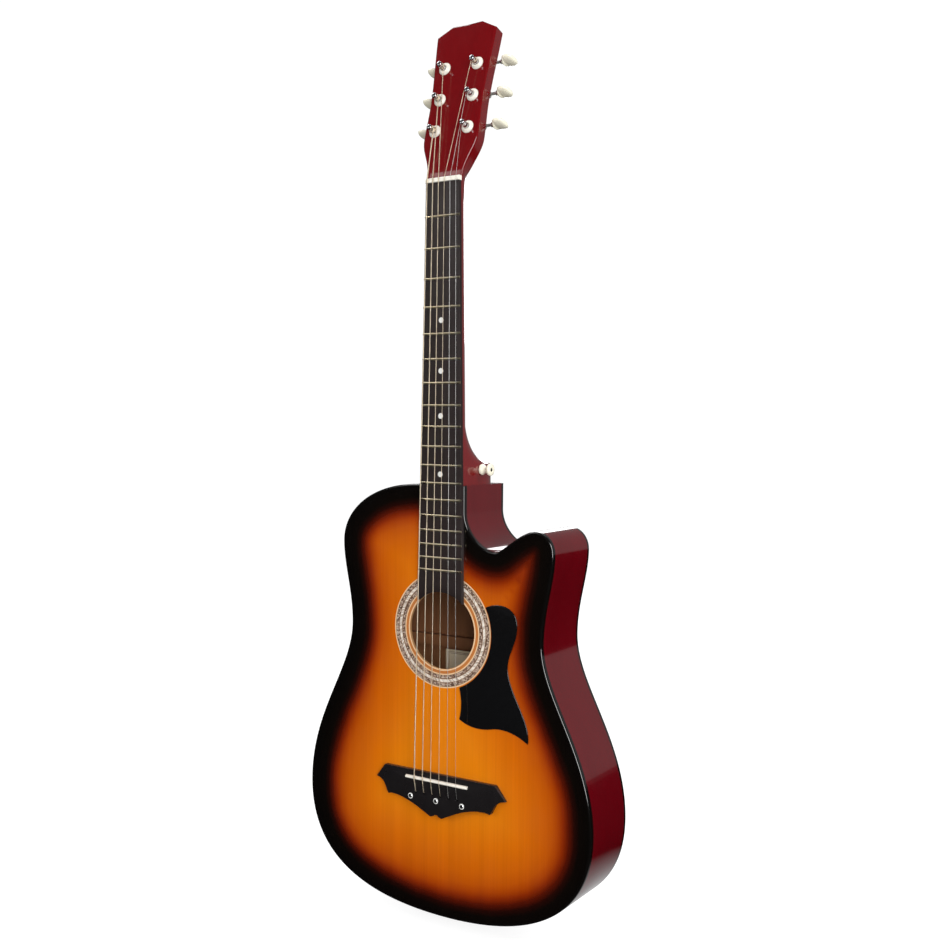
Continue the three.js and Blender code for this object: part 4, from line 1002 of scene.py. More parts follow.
def head_half(s):
    return float(np.interp(s, HEAD_EDGE[:, 1], HEAD_EDGE[:, 0]))


def section(half, depth, boxiness, square, corner):
    """(x, depth behind the front) all round. square turns the half oval into a rounded rectangle."""
    power = 1 - BOX_POWER * boxiness
    points = []
    for i in range(ARC_STEPS * 2 + 1):
        angle = math.pi * i / (ARC_STEPS * 2)
        c, s = math.cos(angle), max(math.sin(angle), 0.0)
        if i in (0, ARC_STEPS * 2):
            s = 0.0
        oval = (half * math.copysign(abs(c) ** power, c), depth * s ** power)
        reach = max(abs(c), s)
        box = ((half - corner) * c / reach + corner * c,
               corner + (depth - 2 * corner) * s / reach + corner * s)
        points.append(tuple(o * (1 - square) + b * square for o, b in zip(oval, box)))
    rounding = max(corner * square, 0.02)
    bends = [(rounding * (1 - math.cos(a)), rounding * (1 - math.sin(a))) for a in FRONT_BENDS]
    points += [(-half + across, behind) for across, behind in bends]
    points += [(half * share, 0.0) for share in (-0.5, 0.0, 0.5)]
    return points + [(half - across, behind) for across, behind in reversed(bends)]


def level(z, shape):
    """A section laid level at the height z."""
    return [(x, FRONT + y, z) for x, y in shape]


def neck_sections():
    rows = []
    climbs = [(i / 24) ** 2 for i in range(25)]
    for height in (0, 8, 15, *(HEEL_TIP + (HEEL_LENGTH - HEEL_TIP) * climb for climb in climbs)):
        climb = max(0.0, height - HEEL_TIP) / (HEEL_LENGTH - HEEL_TIP)
        swell = (1 - math.sqrt(climb)) ** HEEL_HOLLOW
        depth = NECK_DEPTH_BODY + (HEEL_DEPTH - NECK_DEPTH_BODY) * swell
        z = BODY_LENGTH + height
        rows.append(level(z, section(board_half(z), depth, swell ** HEEL_BOXINESS, 0, 0.1)))
    for z in np.linspace(BODY_LENGTH + HEEL_LENGTH + 6, NUT_Z - 22, 24):
        share = (z - BODY_LENGTH - HEEL_LENGTH) / (NUT_Z - BODY_LENGTH - HEEL_LENGTH)
        depth = NECK_DEPTH_BODY + (NECK_DEPTH_NUT - NECK_DEPTH_BODY) * share
        rows.append(level(z, section(board_half(z), depth, 0, 0, 0.1)))
    for past_nut, square in SHAFT_TO_SQUARE:
        half = board_half(NUT_Z + min(past_nut, 0))
        rows.append(level(NUT_Z + past_nut, section(half, NECK_DEPTH_NUT, 0.2, square, 1.5)))
    return rows


def to_world(x, y, s):
    """A place on the head: across it, behind its face and along it from the nut."""
    cos, sin = math.cos(HEAD_TILT), math.sin(HEAD_TILT)
    return (x, FRONT - HEAD_RISE + s * sin + y * cos, NUT_Z + s * cos - y * sin)


def tip_section(share, angle):
    """Near the tip every point has its own height: a share of its way to the top edge, then a rounding."""
    pull = HEAD_ROUNDING * (1 - math.cos(angle))
    real = section(37.0, HEAD_THICK, 0, 1.0, HEAD_ROUNDING)
    placed = []
    for (x, _), (wide, y) in zip(section(1.0, HEAD_THICK, 0, 1.0, 0.001), real):
        top = float(np.interp(abs(x) * HEAD_HALF, HEAD_TOP_X, HEAD_TOP_S)) - HEAD_ROUNDING
        s = HEAD_LEVEL + (top - HEAD_LEVEL) * share + HEAD_ROUNDING * math.sin(angle)
        half = head_half(min(s, HEAD_SHOULDER)) - pull
        placed.append(to_world(wide / 37.0 * half, pull + y * (HEAD_THICK - 2 * pull) / HEAD_THICK, s))
    return placed


def head_sections():
    rows = []
    for s, square in (*HEAD_TO_SQUARE, *((s, 1.0) for s in range(32, 164, 4))):
        depth = HEAD_THICK + HEAD_ROUNDING * (1 - square)
        shape = section(head_half(s), depth, 0, square, HEAD_ROUNDING)
        rows.append([to_world(x, y, s) for x, y in shape])
    rows += [tip_section(share, 0.0) for share in (0.2, 0.4, 0.6, 0.8, 0.9)]
    return rows + [tip_section(1.0, angle) for angle in (0.0, 0.4, 0.8, 1.2, math.pi / 2)]


def loft(name, rows, material, sharp=40.0):
    """A skin over sections with the same number of points."""
    mesh = make_mesh(name, np.vstack(rows), skin(len(rows), len(rows[0])), [material], sharp)
    shape = bmesh.new()
    shape.from_mesh(mesh)
    bmesh.ops.triangulate(shape, faces=[f for f in shape.faces if len(f.verts) > 4])
    shape.to_mesh(mesh)
    shape.free()
    mesh.set_sharp_from_angle(angle=math.radians(sharp))
    return mesh


NECK_ROWS = neck_sections() + head_sections()
new_piece("neck_and_head", loft("neck_and_head", NECK_ROWS, CRIMSON), "root", ["neck"])
print("neck sections:", len(NECK_ROWS), "of", len(NECK_ROWS[0]), "points")

# %% [markdown]
# ## Fretboard, frets and dots
# The board is a dark, slightly crowned strip that ends in an arc over the soundhole. Each fret divides
# what is left of the string by the twelfth root of two, and Geometry Nodes does that sum for every fret:
# a line of points is moved by the formula, and one crowned bar is set on each and stretched to the
# board's width there. The dots are set on points too.
# %% Fretboard
BOARD_THICK, CROWN, BOARD_EDGE = 4.6, 0.5, 0.5
BOARD_TOP = FRONT - BOARD_THICK
ACROSS = np.concatenate([[-1, -0.985], np.linspace(-0.9, 0.9, 13), [0.985, 1]])
ALONG = np.concatenate([[0, 0.002], np.linspace(0.02, 0.98, 12), [0.998, 1]])


def board_y(share):
    return BOARD_TOP + CROWN * share ** 2


def fretboard():
    """A crowned strip from the soundhole's own curve up to the nut."""
    low_half = board_half(HOLE_Z + 36)
    rows = []
    for along in ALONG:
        row = []
        for across in ACROSS:
            low = HOLE_Z + math.sqrt(HOLE_RADIUS ** 2 - (across * low_half) ** 2)
            z = low + (NUT_Z - low) * along
            edge = BOARD_EDGE if abs(across) == 1 or along in (0, 1) else 0.0
            row.append((across * board_half(z), board_y(across) + edge, z))
        rows.append(row + [(x, FRONT, z) for x, _, z in reversed(row)])
    return loft("fretboard_strip", rows, BOARD_WOOD, 40)


new_piece("fretboard_strip", fretboard(), "root", ["fretboard"])
print("board:", NUT_WIDTH, "mm at the nut,", BODY_WIDTH, "at the body")

# %% Frets by Geometry Nodes
FRET_COUNT, FRET_WIDTH, FRET_HEIGHT, FRET_SUNK, FRET_END_DROP = 18, 2.2, 0.9, 0.8, 0.45
FRET_SHARES = (-0.5, -0.48, -0.3, -0.1, 0.1, 0.3, 0.48, 0.5)


def fret_tree():
    inputs = [("Count", "Int", 18), ("Scale length", "Float", 0.63), ("Nut height", "Float", 0.78),
              ("Nut width", "Float", 0.0424), ("Widening", "Float", 0.03), ("Plane", "Float", -0.044),
              ("Material", "Material", None), ("Bar", "Object", None)]
    tree, given, out = new_tree("fret_ladder", "GeometryNodeTree", inputs, GEOMETRY)
    line = put(tree, "GeometryNodeMeshLine", {"Count": given["Count"]}, mode="OFFSET").outputs[0]
    number = math_node(tree, "ADD", put(tree, "GeometryNodeInputIndex").outputs[0], 1.0)
    halving = math_node(tree, "POWER", 2.0, math_node(tree, "DIVIDE", number, -12.0))
    drop = math_node(tree, "MULTIPLY", math_node(tree, "SUBTRACT", 1.0, halving), given["Scale length"])
    height = math_node(tree, "SUBTRACT", given["Nut height"], drop)
    place = put(tree, "ShaderNodeCombineXYZ", {1: given["Plane"], 2: height}).outputs[0]
    spots = put(tree, "GeometryNodeSetPosition", {"Geometry": line, "Position": place}).outputs[0]
    wider = math_node(tree, "MULTIPLY", drop, given["Widening"])
    width = math_node(tree, "ADD", given["Nut width"], wider)
    bar = put(tree, "GeometryNodeObjectInfo", {"Object": given["Bar"]}).outputs["Geometry"]
    stretch_by = put(tree, "ShaderNodeCombineXYZ", {0: width, 1: 1.0, 2: 1.0}).outputs[0]
    bars = put(tree, "GeometryNodeInstanceOnPoints", {"Points": spots, "Instance": bar, "Scale": stretch_by})
    end_tree(tree, out, bars.outputs[0], given["Material"])
    return tree


def fret_bar():
    """A crowned bar one metre wide, which the tree narrows to the board's width."""
    half = FRET_WIDTH / 2
    arc = [(half * math.cos(a), -FRET_HEIGHT * math.sin(a)) for a in np.linspace(0, math.pi, 7)]
    outline = [(half, FRET_SUNK), *arc, (-half, FRET_SUNK)]
    rows = []
    for share in FRET_SHARES:
        lower = CROWN * (2 * share) ** 2 + (FRET_END_DROP if abs(share) == 0.5 else 0.0)
        rows.append([(share / MM, min(y + lower, FRET_SUNK), z) for z, y in outline])
    return loft("fret_bar", rows, FRET_METAL, 50)


bar = linked("fret_bar", fret_bar())
run_tree("frets", fret_tree(), {
    "Count": FRET_COUNT, "Scale length": SCALE_MM * MM, "Nut height": NUT_Z * MM,
    "Nut width": NUT_WIDTH * MM,
    "Widening": (BODY_WIDTH - NUT_WIDTH) / (NUT_Z - BODY_LENGTH), "Plane": BOARD_TOP * MM,
    "Bar": bar, "Material": FRET_METAL}, "root")
bpy.data.objects.remove(bar)

# %% Dots by Geometry Nodes
def disc_tree():
    inputs = [("Spots", "Geometry", None), ("Radius", "Float", 0.003), ("Height", "Float", 0.001),
              ("Material", "Material", None)]
    tree, given, out = new_tree("inlaid_discs", "GeometryNodeTree", inputs, GEOMETRY)
    disc = put(tree, "GeometryNodeMeshCylinder",
               {"Vertices": 32, "Radius": given["Radius"], "Depth": given["Height"]}).outputs[0]
    upright = put(tree, "GeometryNodeTransform", {"Geometry": disc, "Rotation": UPRIGHT}).outputs[0]
    discs = put(tree, "GeometryNodeInstanceOnPoints", {"Points": given["Spots"], "Instance": upright})
    end_tree(tree, out, discs.outputs[0], given["Material"])
    return tree


def fret_z(number):
    return NUT_Z - SCALE_MM * (1 - 2 ** (-number / 12))


def spots_mesh(places_mm):
    mesh = bpy.data.meshes.new("spots")
    mesh.from_pydata([tuple(np.array(p) * MM) for p in places_mm], [], [])
    return mesh


DOT_RADIUS, DOT_SUNK, DOT_FRETS = 3.0, 0.42, (5, 7, 9, 12)
dot_places = [(0, BOARD_TOP + DOT_SUNK, (fret_z(n) + fret_z(n - 1)) / 2) for n in DOT_FRETS]
run_tree("position_dots", disc_tree(), {"Radius": DOT_RADIUS * MM, "Height": MM, "Material": PEARL},
         "root", start=spots_mesh(dot_places))
print("dots at frets", DOT_FRETS)

# %% Nut
NUT_PROUD, NUT_BASE = 1.3, 0.6
SLOT_DEPTH, SLOT_SIDE, SLOT_MARGIN = 0.3, 0.25, 0.5  # in the middle, beside the string, past it
NUT_TOP = BOARD_TOP - NUT_PROUD
NUT_CORNERS = ((0.0, 0.5), (0.3, 0.1))  # distance from the end, how much lower the top is there
NUT_PROFILE = ((0, 0.4), (0.4, 0), (2.4, 0), (4.2, 0.5), (NUT_LENGTH, 1.6))  # along the neck, how much lower
STRING_RADII = [0.67, 0.53, 0.41, 0.31, 0.2, 0.15]


def nut():
    """A bone bar with a slot under each string, made as one profile along X."""
    ends = [(NUT_WIDTH / 2 - distance, NUT_TOP + drop) for distance, drop in NUT_CORNERS]
    profile = [(-x, top) for x, top in ends]
    for i, radius in enumerate(STRING_RADII):
        x = spread(i, SPREAD_NUT)
        profile += [(x - radius - SLOT_MARGIN, NUT_TOP), (x - radius, NUT_TOP + SLOT_SIDE),
                    (x, NUT_TOP + SLOT_DEPTH), (x + radius, NUT_TOP + SLOT_SIDE),
                    (x + radius + SLOT_MARGIN, NUT_TOP)]
    rows = []
    for x, top in profile + ends[::-1]:
        front = [(x, top + drop, NUT_Z + along) for along, drop in NUT_PROFILE]
        rows.append([(x, FRONT + NUT_BASE, NUT_Z), *front, (x, FRONT + NUT_BASE, NUT_Z + NUT_LENGTH)])
    return loft("nut_bone", rows, WHITE_PLASTIC, 40)


new_piece("nut_bone", nut(), "root", ["nut"])
print("nut slots:", len(STRING_RADII))

# %% [markdown]
# ## Tuners
# Three open tuners sit on a strip behind each side of the head. A button turns a worm, the worm turns a
# small gear, and the gear turns the post that winds the string. Each part is drawn once in the head's own
# frame, whose Y runs out of the back, and then copied to its six places. The post and its gear ride on
# one body and the worm and its button on another, so that they turn as the real ones do.
# %% Tuner sizes and places
POST_X, POST_FIRST, POST_PITCH, POST_RADIUS = 20.6, 59.2, 36.2, 3.0
PLATE_THICK, PLATE_HALF, PLATE_MARGIN = 1.2, 9.5, 14.0
GAP = 0.3
GEAR_TEETH, GEAR_RADIUS, GEAR_THICK = 14, 6.3, 3.4
WORM_RADIUS, SHAFT_RADIUS = 2.8, 1.6
PLATE_BACK = HEAD_THICK + GAP + PLATE_THICK
GEAR_MIDDLE = PLATE_BACK + GAP + WORM_RADIUS
WORM_OFFSET = GEAR_RADIUS + WORM_RADIUS + 0.4
EAR_THICK, EAR_OFFSET, EAR_HALF = 1.2, 7.0, 4.2
BUTTON_START, BUTTON_LENGTH, BUTTON_HALF, BUTTON_THICK = 39.0, 15.0, 10.5, 7.0
ROWS = [POST_FIRST + POST_PITCH * row for row in range(3)]
PLACES = [(-1, s) for s in ROWS] + [(1, s) for s in reversed(ROWS)]
TUNERS = [(6 - i, sign, s) for i, (sign, s) in enumerate(PLACES)]  # number, side, distance along the head


def on_head(mesh, x=0.0, s=0.0):
    return moved(mesh, HEAD_TO_WORLD @ Matrix.Translation((x * MM, 0, s * MM)))


def outwards(sign, start, s):
    """Turns local Y to point out of the head's side, with its start at that X."""
    place = Matrix.Translation((sign * start * MM, GEAR_MIDDLE * MM, (s + WORM_OFFSET) * MM))
    return HEAD_TO_WORLD @ place @ Matrix.Rotation(-sign * math.pi / 2, 4, "Z")


print("tuners:", TUNERS)

# %% Posts, gears and bushings
# Profiles list (radius, distance behind the head's face): a post stands proud of it, so that is minus.
POST_PROFILE = [(0, -13), (1.7, -13), (2.5, -12.7), (2.95, -12.1), (POST_RADIUS, -11.3), (2.95, -10.4),
                (2.5, -9.4), (2.4, -8), (2.5, -6.4), (2.95, -5.2), (POST_RADIUS, -4),
                (POST_RADIUS, GEAR_MIDDLE), (0, GEAR_MIDDLE)]
POST_HOLE_RADIUS, STRING_POST_HEIGHT = 0.9, 8.0
TOOTH = [(0.0, 5.15), (0.16, 5.25), (0.3, 6.15), (0.42, GEAR_RADIUS), (0.58, GEAR_RADIUS), (0.7, 6.15),
         (0.84, 5.25)]  # share of the pitch, radius
BUSHING_PROFILE = [(3.2, -1.4), (3.4, -3.0), (3.7, -3.2), (4.6, -3.15), (5.4, -2.6), (6.3, -1.5),
                   (6.9, -0.9), (7.0, -0.6), (7.0, -0.05), (4.6, -0.05), (4.6, 8), (3.3, 8), (3.2, -1.4)]
GEAR_FRONT, GEAR_BACK = GEAR_MIDDLE - GEAR_THICK / 2, GEAR_MIDDLE + GEAR_THICK / 2
GEAR_SCREW = [(0, -0.5), (2.3, -0.5), (2.3, 0.3), (1.9, 0.75), (0, 0.9)]  # radius, distance behind the gear


def bored(holder, cutter):
    """The holder's mesh with the cutter's shape taken out of it."""
    hole = holder.modifiers.new("hole", "BOOLEAN")
    hole.object = cutter
    hole.operation = "DIFFERENCE"
    bake(holder)
    bpy.data.objects.remove(cutter)
    return holder.data


def post_mesh():
    holder = linked("post", turned("post", POST_PROFILE, CHROME, 36))
    drill = [(0, -6), (POST_HOLE_RADIUS, -6), (POST_HOLE_RADIUS, 6), (0, 6)]
    cutter = linked("drill", turned("drill", drill, PAINTED_RECESS_SHADE, 12))
    across = Matrix.Rotation(math.pi / 2, 4, "Z")
    cutter.data.transform(Matrix.Translation((0, -STRING_POST_HEIGHT * MM, 0)) @ across)
    post = bored(holder, cutter)
    bpy.data.objects.remove(holder)
    post.set_sharp_from_angle(angle=math.radians(35))
    return post


def gear_outline():
    corners = [((tooth + share) * 2 * math.pi / GEAR_TEETH, radius)
               for tooth in range(GEAR_TEETH) for share, radius in TOOTH]
    return np.array([(radius * math.cos(a), radius * math.sin(a)) for a, radius in corners])


def gear_screw():
    head = turned("gear_screw", [(radius, GEAR_BACK + y) for radius, y in GEAR_SCREW], TUNER_STEEL, 24)
    # the slot is a dark bar of painted shade set into the dome, not a cut
    slot = plate("slot", rectangle(-2, 2, -0.3, 0.3), GEAR_BACK + 0.5, GEAR_BACK + 0.93, [PAINTED_RECESS_SHADE])
    return [head, slot]


gear = bevelled(plate("gear", gear_outline(), GEAR_FRONT, GEAR_BACK, [GEAR_BRASS]), 0.25, 2, 50)
POST_PARTS = joined("post", [post_mesh(), gear, *gear_screw()], 40)
BUSHING = turned("bushing", BUSHING_PROFILE, WHITE_PLASTIC, 48)
for number, sign, s in TUNERS:
    new_piece(f"winding_post_{number}", on_head(POST_PARTS, sign * POST_X, s), f"tuner_post_{number}",
              [f"post_{number}"])
    new_piece(f"collar_{number}", on_head(BUSHING, sign * POST_X, s), "root",
              [f"bushing_{number}"])
print("gear corners:", len(gear_outline()))

# %% Worms and buttons
WORM_ROOT, WORM_LEAD, WORM_SIDES, WORM_STEPS = 1.9, 2.8, 24, 61
THREAD_HALF = EAR_OFFSET - EAR_THICK / 2 - GAP
SHAFT_END = BUTTON_START + 6 - POST_X
BUTTON_COLLAR = [(2.6, 0.0), (3.2, 0.1), (3.3, 1.2), (3.6, 1.9)]
BUTTON_FULLNESS, BUTTON_MIDDLE, BUTTON_REACH = 0.72, 8.3, 6.7
FLATTEN_START, FLATTEN_OVER = 1.2, 3.0
FERRULE = [(0, -2.4), (2.2, -2.4), (2.6, -2.0), (2.6, -0.5), (2.2, -0.1), (0, -0.1)]  # from the button


def thread_radius(y, angle):
    """The worm's radius where one spiral thread winds round it, fading at both ends."""
    turn = (angle / (2 * math.pi) - y / WORM_LEAD) % 1.0
    ridge = min(max(1.6 - abs(turn - 0.5) * 5, 0), 1)
    fade = min((THREAD_HALF - abs(y)) / 0.5, 1.0)
    return WORM_ROOT + (WORM_RADIUS - WORM_ROOT) * ridge * max(fade, 0)


def worm_mesh():
    """A bar about Y whose middle carries the thread. Rows without a radius are threaded."""
    rows = [(-EAR_OFFSET - 1.6, 1.2), (-EAR_OFFSET - 1.4, SHAFT_RADIUS), (-THREAD_HALF, SHAFT_RADIUS)]
    rows += [(y, None) for y in np.linspace(-THREAD_HALF, THREAD_HALF, WORM_STEPS)]
    rows += [(THREAD_HALF, SHAFT_RADIUS), (SHAFT_END, SHAFT_RADIUS)]
    points = []
    for y, radius in rows:
        for angle in (2 * math.pi * i / WORM_SIDES for i in range(WORM_SIDES)):
            r = thread_radius(y, angle) if radius is None else radius
            points.append((r * math.cos(angle), y, r * math.sin(angle)))
    return make_mesh("worm", points, skin(len(rows), WORM_SIDES), [TUNER_STEEL], 50)


def button_mesh():
    """An oval paddle with a short collar, flattened from a turned shape."""
    body = []
    for angle in np.linspace(0.02, math.pi, 26)[:-1]:
        radius = BUTTON_HALF * math.sin(angle) ** BUTTON_FULLNESS
        rise = math.copysign(abs(math.cos(angle)) ** BUTTON_FULLNESS, math.cos(angle))
        if radius > BUTTON_COLLAR[-1][0] + 0.05 or angle > 1:
            body.append((radius, BUTTON_MIDDLE - BUTTON_REACH * rise))
    profile = [(0.0, 0.0), *BUTTON_COLLAR, *body, (0.0, BUTTON_LENGTH)]
    mesh = turned("button", profile, CREAM, 48, 40)
    for vertex in mesh.vertices:
        share = min(max((vertex.co.y / MM - FLATTEN_START) / FLATTEN_OVER, 0), 1)
        vertex.co.z *= 1 + (BUTTON_THICK / 2 / BUTTON_HALF - 1) * share
    return mesh


def shaft_ferrule():
    return turned("ferrule", [(radius, BUTTON_START - POST_X + y) for radius, y in FERRULE], CHROME, 24)


WORM = joined("worm", [worm_mesh(), shaft_ferrule()], 50)
BUTTON = button_mesh()
for number, sign, s in TUNERS:
    new_piece(f"worm_{number}", moved(WORM, outwards(sign, POST_X, s)), f"tuner_key_{number}",
              [f"worm_shaft_{number}"])
    new_piece(f"key_button_{number}", moved(BUTTON, outwards(sign, BUTTON_START, s)),
              f"tuner_key_{number}", [f"button_{number}"])
print("button:", round(max(v.co.x for v in BUTTON.vertices) / MM, 2), "mm half width")

# %% [markdown]
# ## Tuner strips and screws
# Each strip is folded from sheet steel, with a pair of ears for every worm. The strip is a plate with
# rounded ends, and the ears are small upright plates with a hole for the shaft. The screws repeat, so a
# Geometry Nodes tree sets one screw head on every chosen point.
# %% Strips, ears and screws
STRIP_CORNER, EAR_SUNK = 3.0, 0.3
SCREW_PROFILE = [(0, -0.4), (2.0, -0.4), (2.0, 0.15), (1.7, 0.5), (1.0, 0.72), (0, 0.8)]
BLADE_HALF, BLADE_WIDTH = 1.2, 0.44
SCREW_PLACES = (POST_FIRST - 9.5, ROWS[0] + 22.5, ROWS[1] + 22.5, ROWS[2] + WORM_OFFSET + 3.8)


def strip_outline(x):
    low, high = POST_FIRST - PLATE_MARGIN, ROWS[2] + WORM_OFFSET + PLATE_MARGIN / 2
    corner, points = STRIP_CORNER, []
    for across, along, start in ((1, 1, 0), (-1, 1, 90), (-1, -1, 180), (1, -1, 270)):
        middle_x = x + across * (PLATE_HALF - corner)
        middle_s = high - corner if along > 0 else low + corner
        for angle in np.radians(np.linspace(start, start + 90, 7)):
            points.append((middle_x + corner * math.cos(angle), middle_s + corner * math.sin(angle)))
    return np.array(points)


def ear_mesh(x, s):
    """An upright plate, drawn flat in its own plane and then stood across the strip."""
    angles = np.linspace(0, math.pi, 17)
    arc = [(EAR_HALF * math.cos(a), GEAR_MIDDLE + EAR_HALF * math.sin(a)) for a in angles]
    outline = np.array([(EAR_HALF, PLATE_BACK - EAR_SUNK), *arc, (-EAR_HALF, PLATE_BACK - EAR_SUNK)])
    flat = plate("ear", outline, -EAR_THICK / 2, EAR_THICK / 2, [TUNER_STEEL],
                 [circle(SHAFT_RADIUS + GAP, 0, GEAR_MIDDLE, 20)])
    upright = Matrix(((0, 1, 0, x * MM), (0, 0, 1, 0), (1, 0, 0, (s + WORM_OFFSET) * MM), (0, 0, 0, 1)))
    return moved(bevelled(flat, 0.2, 2, 50), upright)


def tuner_strip(sign):
    x = sign * POST_X
    holes = [circle(POST_RADIUS + GAP, x, s, 24) for s in ROWS]
    flat = plate("strip", strip_outline(x), HEAD_THICK + 0.05, PLATE_BACK, [TUNER_STEEL], holes)
    ears = [ear_mesh(x + end * EAR_OFFSET, s) for s in ROWS for end in (-1, 1)]
    return on_head(joined("strip", [bevelled(flat, 0.3, 2, 50), *ears], 45))


def screw_tree():
    """One screw on every spot, spun at random and tilted to stand square on the head."""
    inputs = [("Spots", "Geometry", None), ("Screw", "Object", None), ("Tilt", "Vector", None),
              ("Seed", "Int", 4), ("Material", "Material", None)]
    tree, given, out = new_tree("screws", "GeometryNodeTree", inputs, GEOMETRY)
    screw = put(tree, "GeometryNodeObjectInfo", {"Object": given["Screw"]}).outputs["Geometry"]
    spin = put(tree, "FunctionNodeRandomValue", {"Seed": given["Seed"], 2: 0.0, 3: 3.1}, data_type="FLOAT")
    about_y = put(tree, "ShaderNodeCombineXYZ", {1: spin.outputs[1]}).outputs[0]
    leaning = put(tree, "FunctionNodeRotateRotation", {"Rotation": about_y, "Rotate By": given["Tilt"]},
                  rotation_space="GLOBAL").outputs[0]
    heads = put(tree, "GeometryNodeInstanceOnPoints",
                {"Points": given["Spots"], "Instance": screw, "Rotation": leaning})
    end_tree(tree, out, heads.outputs[0], given["Material"])
    return tree


def screw_head():
    """A countersunk cross head: a shallow dome with a cross pressed into it."""
    holder = linked("screw", turned("screw", SCREW_PROFILE, TUNER_STEEL, 24))
    outline = rectangle(-BLADE_HALF, BLADE_HALF, -BLADE_WIDTH / 2, BLADE_WIDTH / 2)
    for turn in (0, math.pi / 2):
        blade = plate("blade", outline, 0.2, 2.0, [TUNER_STEEL])
        blade.transform(Matrix.Rotation(turn, 4, "Y"))
        bored(holder, linked("blade", blade))
    holder.data.set_sharp_from_angle(angle=math.radians(30))
    return holder


SCREW = screw_head()
SCREW_TREE = screw_tree()
for side_name, sign in (("bass", -1), ("treble", 1)):
    new_piece(f"tuner_strip_{side_name}", tuner_strip(sign), "root",
              [f"tuner_plate_{side_name}"])
    spots = [to_world(sign * POST_X, PLATE_BACK, s) for s in SCREW_PLACES]
    run_tree(f"tuner_screws_{side_name}", SCREW_TREE,
             {"Screw": SCREW, "Tilt": (-HEAD_TILT, 0, 0), "Seed": 4 + sign, "Material": TUNER_STEEL},
             "root", start=spots_mesh(spots))
bpy.data.objects.remove(SCREW)
print("screws on each strip:", len(SCREW_PLACES))

# %% [markdown]
# ## Strings
# A string starts at its ball under the top, bends over the saddle and the nut, and reaches the post on
# the side that faces the middle of the head. The four thick ones are wound. The turns round the post ride
# on the post's body, because they turn with it, and the long part stays with the guitar.
# %% Strings
POST_WAIST, BRIDGE_PLATE_THICK = 2.45, 2.5
BALL_PROFILE = [(0, -2), (1.2, -1.6), (2.0, -0.8), (2.0, 0.8), (1.2, 1.6), (0, 2)]
BALL_RADIUS = 2.0
WOUND = {6, 5, 4, 3}
TURNS_THICK, TURNS_THIN, TURN_STEPS, TURN_PITCH = 2.6, 3.6, 16, 2.05  # the pitch is in string radii


def rounded_path(corners, radius=1.2, steps=5):
    """The path through these corners with each one rounded."""
    corners = [np.array(c, float) for c in corners]
    path = [corners[0]]
    for before, corner, after in zip(corners, corners[1:], corners[2:]):
        into, out = before - corner, after - corner
        reach = min(radius, 0.45 * np.linalg.norm(into), 0.45 * np.linalg.norm(out))
        start = corner + into / np.linalg.norm(into) * reach
        end = corner + out / np.linalg.norm(out) * reach
        t = np.linspace(0, 1, steps)[:, None]
        path += list((1 - t) ** 2 * start + 2 * (1 - t) * t * corner + t ** 2 * end)
    return path + [corners[-1]]


def string_corners(i, sign, s):
    """From the ball under the top over the saddle and the nut to the post."""
    radius = STRING_RADII[i]
    x, nut_x = spread(i, SPREAD_SADDLE), spread(i, SPREAD_NUT)
    ball_y = FRONT + TOP_THICK + BRIDGE_PLATE_THICK + GAP + BALL_RADIUS
    on_saddle, on_nut = SADDLE_TOP - radius, NUT_TOP + SLOT_SIDE - radius
    contact = to_world(sign * (POST_X - POST_WAIST - radius), -STRING_POST_HEIGHT, s)
    return [(x, ball_y, STRING_HOLE_Z), (x, BRIDGE_TOP + 0.3, STRING_HOLE_Z + 0.2),
            (x, on_saddle, SADDLE_Z - 0.6), (x, on_saddle, SADDLE_Z + 0.6),
            (nut_x, on_nut, NUT_Z), (nut_x, on_nut, NUT_Z + NUT_LENGTH * 0.6), contact]


def post_turns(radius, sign, turns):
    """The turns round the post, in the head's frame about the post."""
    around = POST_WAIST + radius
    path = []
    for step in range(int(turns * TURN_STEPS) + 1):
        share = step / TURN_STEPS
        angle, down = 2 * math.pi * share, 0.2 - STRING_POST_HEIGHT + TURN_PITCH * radius * share
        path.append((-sign * around * math.cos(angle), down, around * math.sin(angle)))
    return path


def string_end(radius, sign):
    """The short end that goes through the post's hole and bends up behind it."""
    hole = -STRING_POST_HEIGHT
    return [(-sign * 4.2, hole, 0.6), (-sign * 2.2, hole, 0.0), (sign * 2.4, hole, 0.0),
            (sign * (3.4 + radius), hole - 0.9, 0.6), (sign * (3.8 + radius), hole - 2.2, 1.0)]


def string_mesh(path, radius, material, sides=10):
    points, faces, along = tube(path, radius, sides)
    return make_mesh("string", points, faces, [material], 60, {"along_mm": along})


for i, (number, sign, s) in enumerate(TUNERS):
    radius, wound = STRING_RADII[i], number in WOUND
    material = WOUND_BRONZE if wound else PLAIN_STEEL
    corners = string_corners(i, sign, s)
    ball = at_place(turned("ball", BALL_PROFILE, GEAR_BRASS, 16), *corners[0])
    line = string_mesh(rounded_path(corners), radius, material)
    name = f"string_line_{number}"
    new_piece(name, joined(name, [line, ball], 60), "root", [f"string_{number}"])
    turns = TURNS_THICK if number > 3 else TURNS_THIN
    coils = [string_mesh(path, radius, material, 8)
             for path in (post_turns(radius, sign, turns), rounded_path(string_end(radius, sign), 0.8))]
    new_piece(f"string_turns_{number}", on_head(joined("turns", coils, 60), sign * POST_X, s),
              f"tuner_post_{number}", [])
print("strings:", len(TUNERS))

# %% [markdown]
# ## Strap holders
# Two cream spools hold a strap: one stands on the heel's treble side and one on the tail. Each is turned,
# with a wide outer flange, a waist for the strap's hole and a screw or a pin through it.
# %% Strap buttons
STRAP_HEIGHT, STRAP_DEPTH, STRAP_SEAT = 16.0, 35.0, 26.16
HEEL_SPOOL, TAIL_SPOOL = (6.6, 4.0, 13.0), (7.0, 4.2, 16.0)  # flange, waist, length
